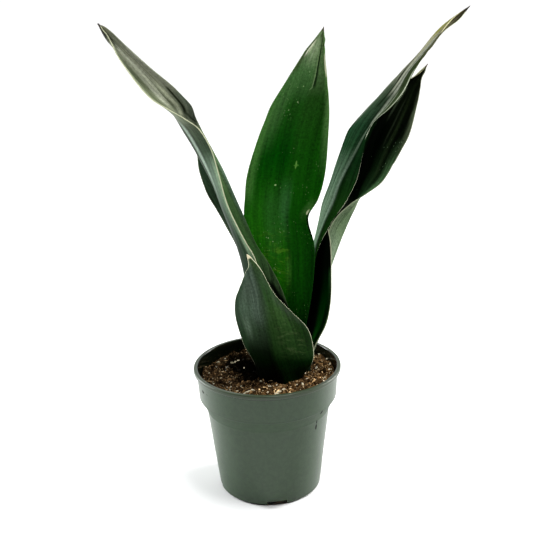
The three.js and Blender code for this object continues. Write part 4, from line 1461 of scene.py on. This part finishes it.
# What all the grains share. Sizes of the shapes are shares of a grain's own size.
grainForm = {
    "variants": 5,
    "variantStep": (7.3, 3.1, 0.0),
    "lumpScale": 2.1,
    "leastStretch": (0.75, 0.7, 0.6),
    "mostStretch": (1.25, 1.1, 1.0),
    "seeds": {"size": 11, "stretch": 23, "turn": 37, "shape": 53, "tone": 71},
    "textureScale": 1100.0,
    "textureMask": (0.38, 0.62),
    "roughness": 0.85,
    "bumpStrength": 0.7,
    "bumpDepth": 0.0006,
}


def grainMaterial(name, look):
    form = grainForm
    material, wires, shader = newMaterial(name)
    place = wires.objectPlace()
    tone = wires.add("ShaderNodeAttribute", attribute_name="tone").outputs["Fac"]
    grain = wires.cloud(place, form["textureScale"], 4.0, 0.75)
    shade = wires.remap(grain, *form["textureMask"], *look["shade"], False)
    base = wires.shade(wires.ramp(tone, look["tones"]), shade)
    # the grains take the soil's painted light and painted shade
    if look["paintedShade"]:
        base = paintSoilLightAndShade(wires, place, base)
    dressShader(wires, shader, base, form["roughness"], look["specular"])
    bumpShader(wires, shader, grain, form["bumpStrength"], form["bumpDepth"])
    return material


def buildGrainTree():
    # scatters lumpy grains over a patch of ground
    form = grainForm
    tree = bpy.data.node_groups.new("scatteredGrains", "GeometryNodeTree")
    sockets = [
        ("Ground", "Geometry"), ("Density", "Float"), ("Least Size", "Float"), ("Largest Size", "Float"),
        ("Size Bias", "Float"), ("Length", "Float"), ("Detail", "Int"), ("Roughness", "Float"),
        ("Tilt", "Float"), ("Seed", "Int"), ("Material", "Material"),
    ]
    for name, kind in sockets:
        tree.interface.new_socket(name, in_out="INPUT", socket_type="NodeSocket" + kind)
    tree.interface.new_socket("Grains", in_out="OUTPUT", socket_type="NodeSocketGeometry")
    wires = Wiring(tree)
    given = wires.add("NodeGroupInput").outputs
    scatter = wires.add("GeometryNodeDistributePointsOnFaces", {
        "Mesh": given["Ground"], "Density": given["Density"], "Seed": given["Seed"]},
        distribute_method="RANDOM")

    # a few lumpy shapes to pick from
    shapes = wires.add("GeometryNodeGeometryToInstance")
    for variant in range(form["variants"]):
        ball = wires.add("GeometryNodeMeshIcoSphere", {"Radius": 0.5, "Subdivisions": given["Detail"]})
        position = wires.add("GeometryNodeInputPosition").outputs[0]
        shifted = wires.vector("ADD", position, [variant * step for step in form["variantStep"]])
        lumps = wires.add("ShaderNodeTexNoise", {
            "Vector": shifted, "Scale": form["lumpScale"], "Detail": 1.0})
        centred = wires.vector("SUBTRACT", lumps.outputs["Color"], (0.5, 0.5, 0.5))
        pushed = wires.scaled(centred, given["Roughness"])
        moved = wires.add("GeometryNodeSetPosition", {"Geometry": ball.outputs["Mesh"], "Offset": pushed})
        wires.tree.links.new(moved.outputs[0], shapes.inputs[0])

    def chance(low, high, use, kind="FLOAT"):
        seed = wires.calc("ADD", given["Seed"], float(form["seeds"][use]))
        node = wires.add("FunctionNodeRandomValue", {"Min": low, "Max": high, "Seed": seed}, data_type=kind)
        return next(s for s in node.outputs if s.enabled)

    pick = wires.calc("POWER", chance(0.0, 1.0, "size"), given["Size Bias"])
    sizeRange = wires.calc("SUBTRACT", given["Largest Size"], given["Least Size"])
    size = wires.calc("MULTIPLY_ADD", pick, sizeRange, given["Least Size"])
    uneven = chance(form["leastStretch"], form["mostStretch"], "stretch", "FLOAT_VECTOR")
    stretched = wires.vector("MULTIPLY", uneven, wires.join(given["Length"], 1.0, 1.0))
    lean = chance((-1.0, -1.0, -math.pi), (1.0, 1.0, math.pi), "turn", "FLOAT_VECTOR")
    turn = wires.vector("MULTIPLY", lean, wires.join(given["Tilt"], given["Tilt"], 1.0))
    instances = wires.add("GeometryNodeInstanceOnPoints", {
        "Points": scatter.outputs["Points"], "Instance": shapes.outputs[0], "Pick Instance": True,
        "Instance Index": chance(0, form["variants"] - 1, "shape", "INT"), "Rotation": turn,
        "Scale": wires.scaled(stretched, size)})
    toned = wires.add("GeometryNodeStoreNamedAttribute", {
        "Geometry": instances.outputs[0], "Name": "tone", "Value": chance(0.0, 1.0, "tone")},
        data_type="FLOAT", domain="INSTANCE")
    real = wires.add("GeometryNodeRealizeInstances", {"Geometry": toned.outputs[0]})
    finished = wires.add("GeometryNodeSetMaterial", {
        "Geometry": real.outputs[0], "Material": given["Material"]})
    wires.add("NodeGroupOutput", {0: finished.outputs[0]})
    return tree


# Each set has the inputs of its scatter, and how far it stays in from the pot's wall in millimetres.
grainSets = {
    "soilCrumbs": {
        "Density": 130000.0, "Least Size": 0.0010, "Largest Size": 0.0038, "Size Bias": 3.0, "Length": 1.15,
        "Detail": 2, "Roughness": 0.75, "Tilt": 3.1, "Seed": 5, "inset": 2.6,
    },
    "soilFines": {
        "Density": 760000.0, "Least Size": 0.0005, "Largest Size": 0.0016, "Size Bias": 1.8, "Length": 1.2,
        "Detail": 1, "Roughness": 0.5, "Tilt": 3.1, "Seed": 9, "inset": 1.4,
    },
    "barkBits": {
        "Density": 34000.0, "Least Size": 0.0006, "Largest Size": 0.0018, "Size Bias": 1.5, "Length": 3.2,
        "Detail": 2, "Roughness": 0.45, "Tilt": 0.5, "Seed": 14, "inset": 4.0,
    },
    "perliteGrains": {
        "Density": 19000.0, "Least Size": 0.0006, "Largest Size": 0.0023, "Size Bias": 2.0, "Length": 1.3,
        "Detail": 2, "Roughness": 0.7, "Tilt": 3.1, "Seed": 21, "inset": 3.0,
    },
}

grainLooks = {
    "soilCrumbs": {
        "tones": [(0.0, paint(20, 14, 8)), (0.45, paint(60, 45, 28)), (0.8, paint(100, 79, 53)),
                  (1.0, paint(132, 104, 72))],
        "shade": (0.2, 1.5), "paintedShade": True, "specular": 0.0,
    },
    "soilFines": {
        "tones": [(0.0, paint(14, 10, 6)), (0.55, paint(62, 47, 30)), (0.82, paint(112, 90, 62)),
                  (1.0, paint(226, 200, 160))],
        "shade": (0.45, 1.4), "paintedShade": True, "specular": 0.0,
    },
    "barkBits": {
        "tones": [(0.0, paint(50, 36, 22)), (0.5, paint(110, 84, 54)), (1.0, paint(206, 176, 132))],
        "shade": (0.6, 1.2), "paintedShade": True, "specular": 0.0,
    },
    "perliteGrains": {
        "tones": [(0.0, paint(150, 140, 116)), (0.5, paint(206, 200, 180)), (1.0, paint(246, 242, 230))],
        "shade": (0.8, 1.1), "paintedShade": True, "specular": 0.05,
    },
    "perliteChips": {
        "tones": [(0.0, paint(224, 214, 184)), (1.0, paint(248, 242, 224))],
        "shade": (0.82, 1.1), "paintedShade": False, "specular": 0.1,
    },
}


def makeGrains():
    tree = buildGrainTree()
    names = {item.name: item.identifier for item in tree.interface.items_tree if item.in_out == "INPUT"}
    for name, grains in grainSets.items():
        radius = boreRadius(soilForm["level"]) - grains["inset"]
        points, faces = soilTop(radius, soilForm["grainRings"], soilForm["grainSectors"])
        mesh = bpy.data.meshes.new(name)
        mesh.from_pydata([[c * mm for c in point] for point in points], [], faces)
        material = grainMaterial(name + "Skin", grainLooks[name])
        piece = addObject(name, mesh, material)
        scatter = piece.modifiers.new("scatter", "NODES")
        scatter.node_group = tree
        for key, value in grains.items():
            if key in names:
                scatter[names[key]] = value
        scatter[names["Material"]] = material
        bakeModifiers(piece)
        piece.data.polygons.foreach_set("use_smooth", [False] * len(piece.data.polygons))
        finishPiece(piece, "potting_soil")
        print(name, "has", len(piece.data.polygons), "faces")


chipForm = {"lump": 1.1, "lumpScale": 3.4, "flatness": 0.8, "lift": 0.9}

# the larger white chips that the photo shows: x, y, length, width in millimetres and turn in degrees
chips = [
    (-31.9, -32.2, 2.2, 1.3, 20), (-28.1, -34.1, 2.0, 1.2, 60), (-23.0, -29.5, 2.2, 1.3, 10),
    (-14.4, -30.9, 4.4, 1.3, 20),
    (-11.0, -31.6, 3.0, 1.2, -30), (-17.4, -31.9, 2.0, 1.1, 50), (6.4, -35.4, 3.0, 1.8, 12),
    (9.0, -33.2, 3.2, 1.5, 40),
    (11.9, -32.0, 2.4, 1.2, 10), (7.4, -32.4, 1.8, 1.4, 80), (-39.4, 25.9, 2.8, 1.3, 5),
    (-28.2, 25.3, 2.6, 1.4, 0),
    (-25.4, 24.6, 2.4, 1.7, 40), (-23.0, 24.8, 1.8, 1.2, 30), (-18.3, 11.1, 1.6, 1.2, 80),
    (-45.6, 5.5, 1.6, 1.1, 0),
    (-41.2, -14.5, 1.6, 1.0, 50), (-5.0, -16.9, 1.8, 1.3, 10), (42.0, 29.1, 1.8, 1.2, 70),
    (47.8, 19.9, 1.8, 1.3, 20),
    (49.4, 10.2, 2.2, 1.3, 80), (49.3, -0.9, 1.8, 1.2, 45), (33.0, 12.0, 1.4, 1.0, 0),
    (38.0, 4.0, 1.5, 1.0, 30),
    (-34.0, 31.0, 1.5, 1.1, 40), (30.0, -16.0, 1.4, 1.0, 15), (22.0, -26.0, 1.3, 0.9, 60),
    (44.0, -12.0, 1.5, 1.0, 35),
    (28.0, 20.0, 1.5, 1.1, 10), (-20.0, -22.0, 1.3, 0.9, 70), (-36.0, -4.0, 1.4, 1.0, 25),
    (2.0, -26.0, 1.3, 1.0, 0),
]


def makeChips():
    form = chipForm
    builder = bmesh.new()
    for number, (x, y, long, wide, turn) in enumerate(chips):
        made = bmesh.ops.create_icosphere(builder, subdivisions=2, radius=0.5)
        spin = Matrix.Rotation(math.radians(turn), 3, "Z")
        place = Vector((x, y, soilHeight(x, y, False) + form["lift"]))
        for vert in made["verts"]:
            lump = noise.noise(vert.co * form["lumpScale"] + Vector((number * 5.0, 0, 0)))
            shape = vert.co * (1 + form["lump"] * lump)
            shape = spin @ Vector((shape.x * long, shape.y * wide, shape.z * wide * form["flatness"]))
            vert.co = (shape + place) * mm
    mesh = bpy.data.meshes.new("perliteChips")
    builder.to_mesh(mesh)
    builder.free()
    piece = addObject("perliteChips", mesh, grainMaterial("perliteChipsSkin", grainLooks["perliteChips"]))
    finishPiece(piece, "potting_soil")


makeSoil(soilMaterial())
makeGrains()
makeChips()
print("soil is filled and its grains are scattered")


# Rhizome

rhizomeForm = {
    "centre": (13, 2, 52), "radii": (23, 17, 9.6), "rings": 48, "sectors": 72,
    "scars": 11, "ridge": 0.35, "lump": 0.3, "lumpScale": 3.1,
}

rhizomeLook = {
    "tones": [(0.3, paint(120, 78, 34)), (0.55, paint(186, 132, 66)), (0.75, paint(206, 160, 96))],
    "toneScale": 380.0,
    "scar": paint(104, 64, 30),
    "scarScale": 700.0,
    "scarStretch": (1.0, 0.1, 0.1),
    "scarStrength": 0.5,
    "roughness": 0.75,
    "specular": 0.5,
    "bumpStrength": 0.5,
    "bumpDepth": 0.0006,
}


def rhizomeMaterial():
    look = rhizomeLook
    material, wires, shader = newMaterial("rhizomeSkin")
    place = wires.objectPlace()
    scars = wires.cloud(wires.vector("MULTIPLY", place, look["scarStretch"]), look["scarScale"], 3.0, 0.6)
    base = wires.ramp(wires.cloud(place, look["toneScale"], 4.0, 0.6), look["tones"])
    base = wires.cover(base, look["scar"], wires.remap(scars, 0.5, 0.7, 0.0, look["scarStrength"]))
    dressShader(wires, shader, base, look["roughness"], look["specular"])
    bumpShader(wires, shader, scars, look["bumpStrength"], look["bumpDepth"])
    return material


def makeRhizome(material):
    # a lumpy ball drawn out along x, with a pole at each end of it
    form = rhizomeForm
    rings, sectors = form["rings"], form["sectors"]
    points = []
    for ring in range(rings + 1):
        tilt = math.pi * ring / rings
        for sector in range(sectors if 0 < ring < rings else 1):
            turn = 2 * math.pi * sector / sectors
            wide = math.sin(tilt)
            shape = Vector((math.cos(tilt), wide * math.cos(turn), wide * math.sin(turn)))
            swell = form["ridge"] * (math.sin(form["scars"] * tilt) ** 2 - 0.5) * wide
            swell += form["lump"] * noise.noise(shape * form["lumpScale"])
            points.append([c + s * (r + swell) for c, s, r in zip(form["centre"], shape, form["radii"])])
    mesh = closedMesh("rhizomeBody", points, shellFaces(rings - 1, sectors))
    finishPiece(addObject("rhizomeBody", mesh, material), "rhizome_skin", "rhizome")


makeRhizome(rhizomeMaterial())
print("rhizome is shaped")

bpy.context.view_layer.update()
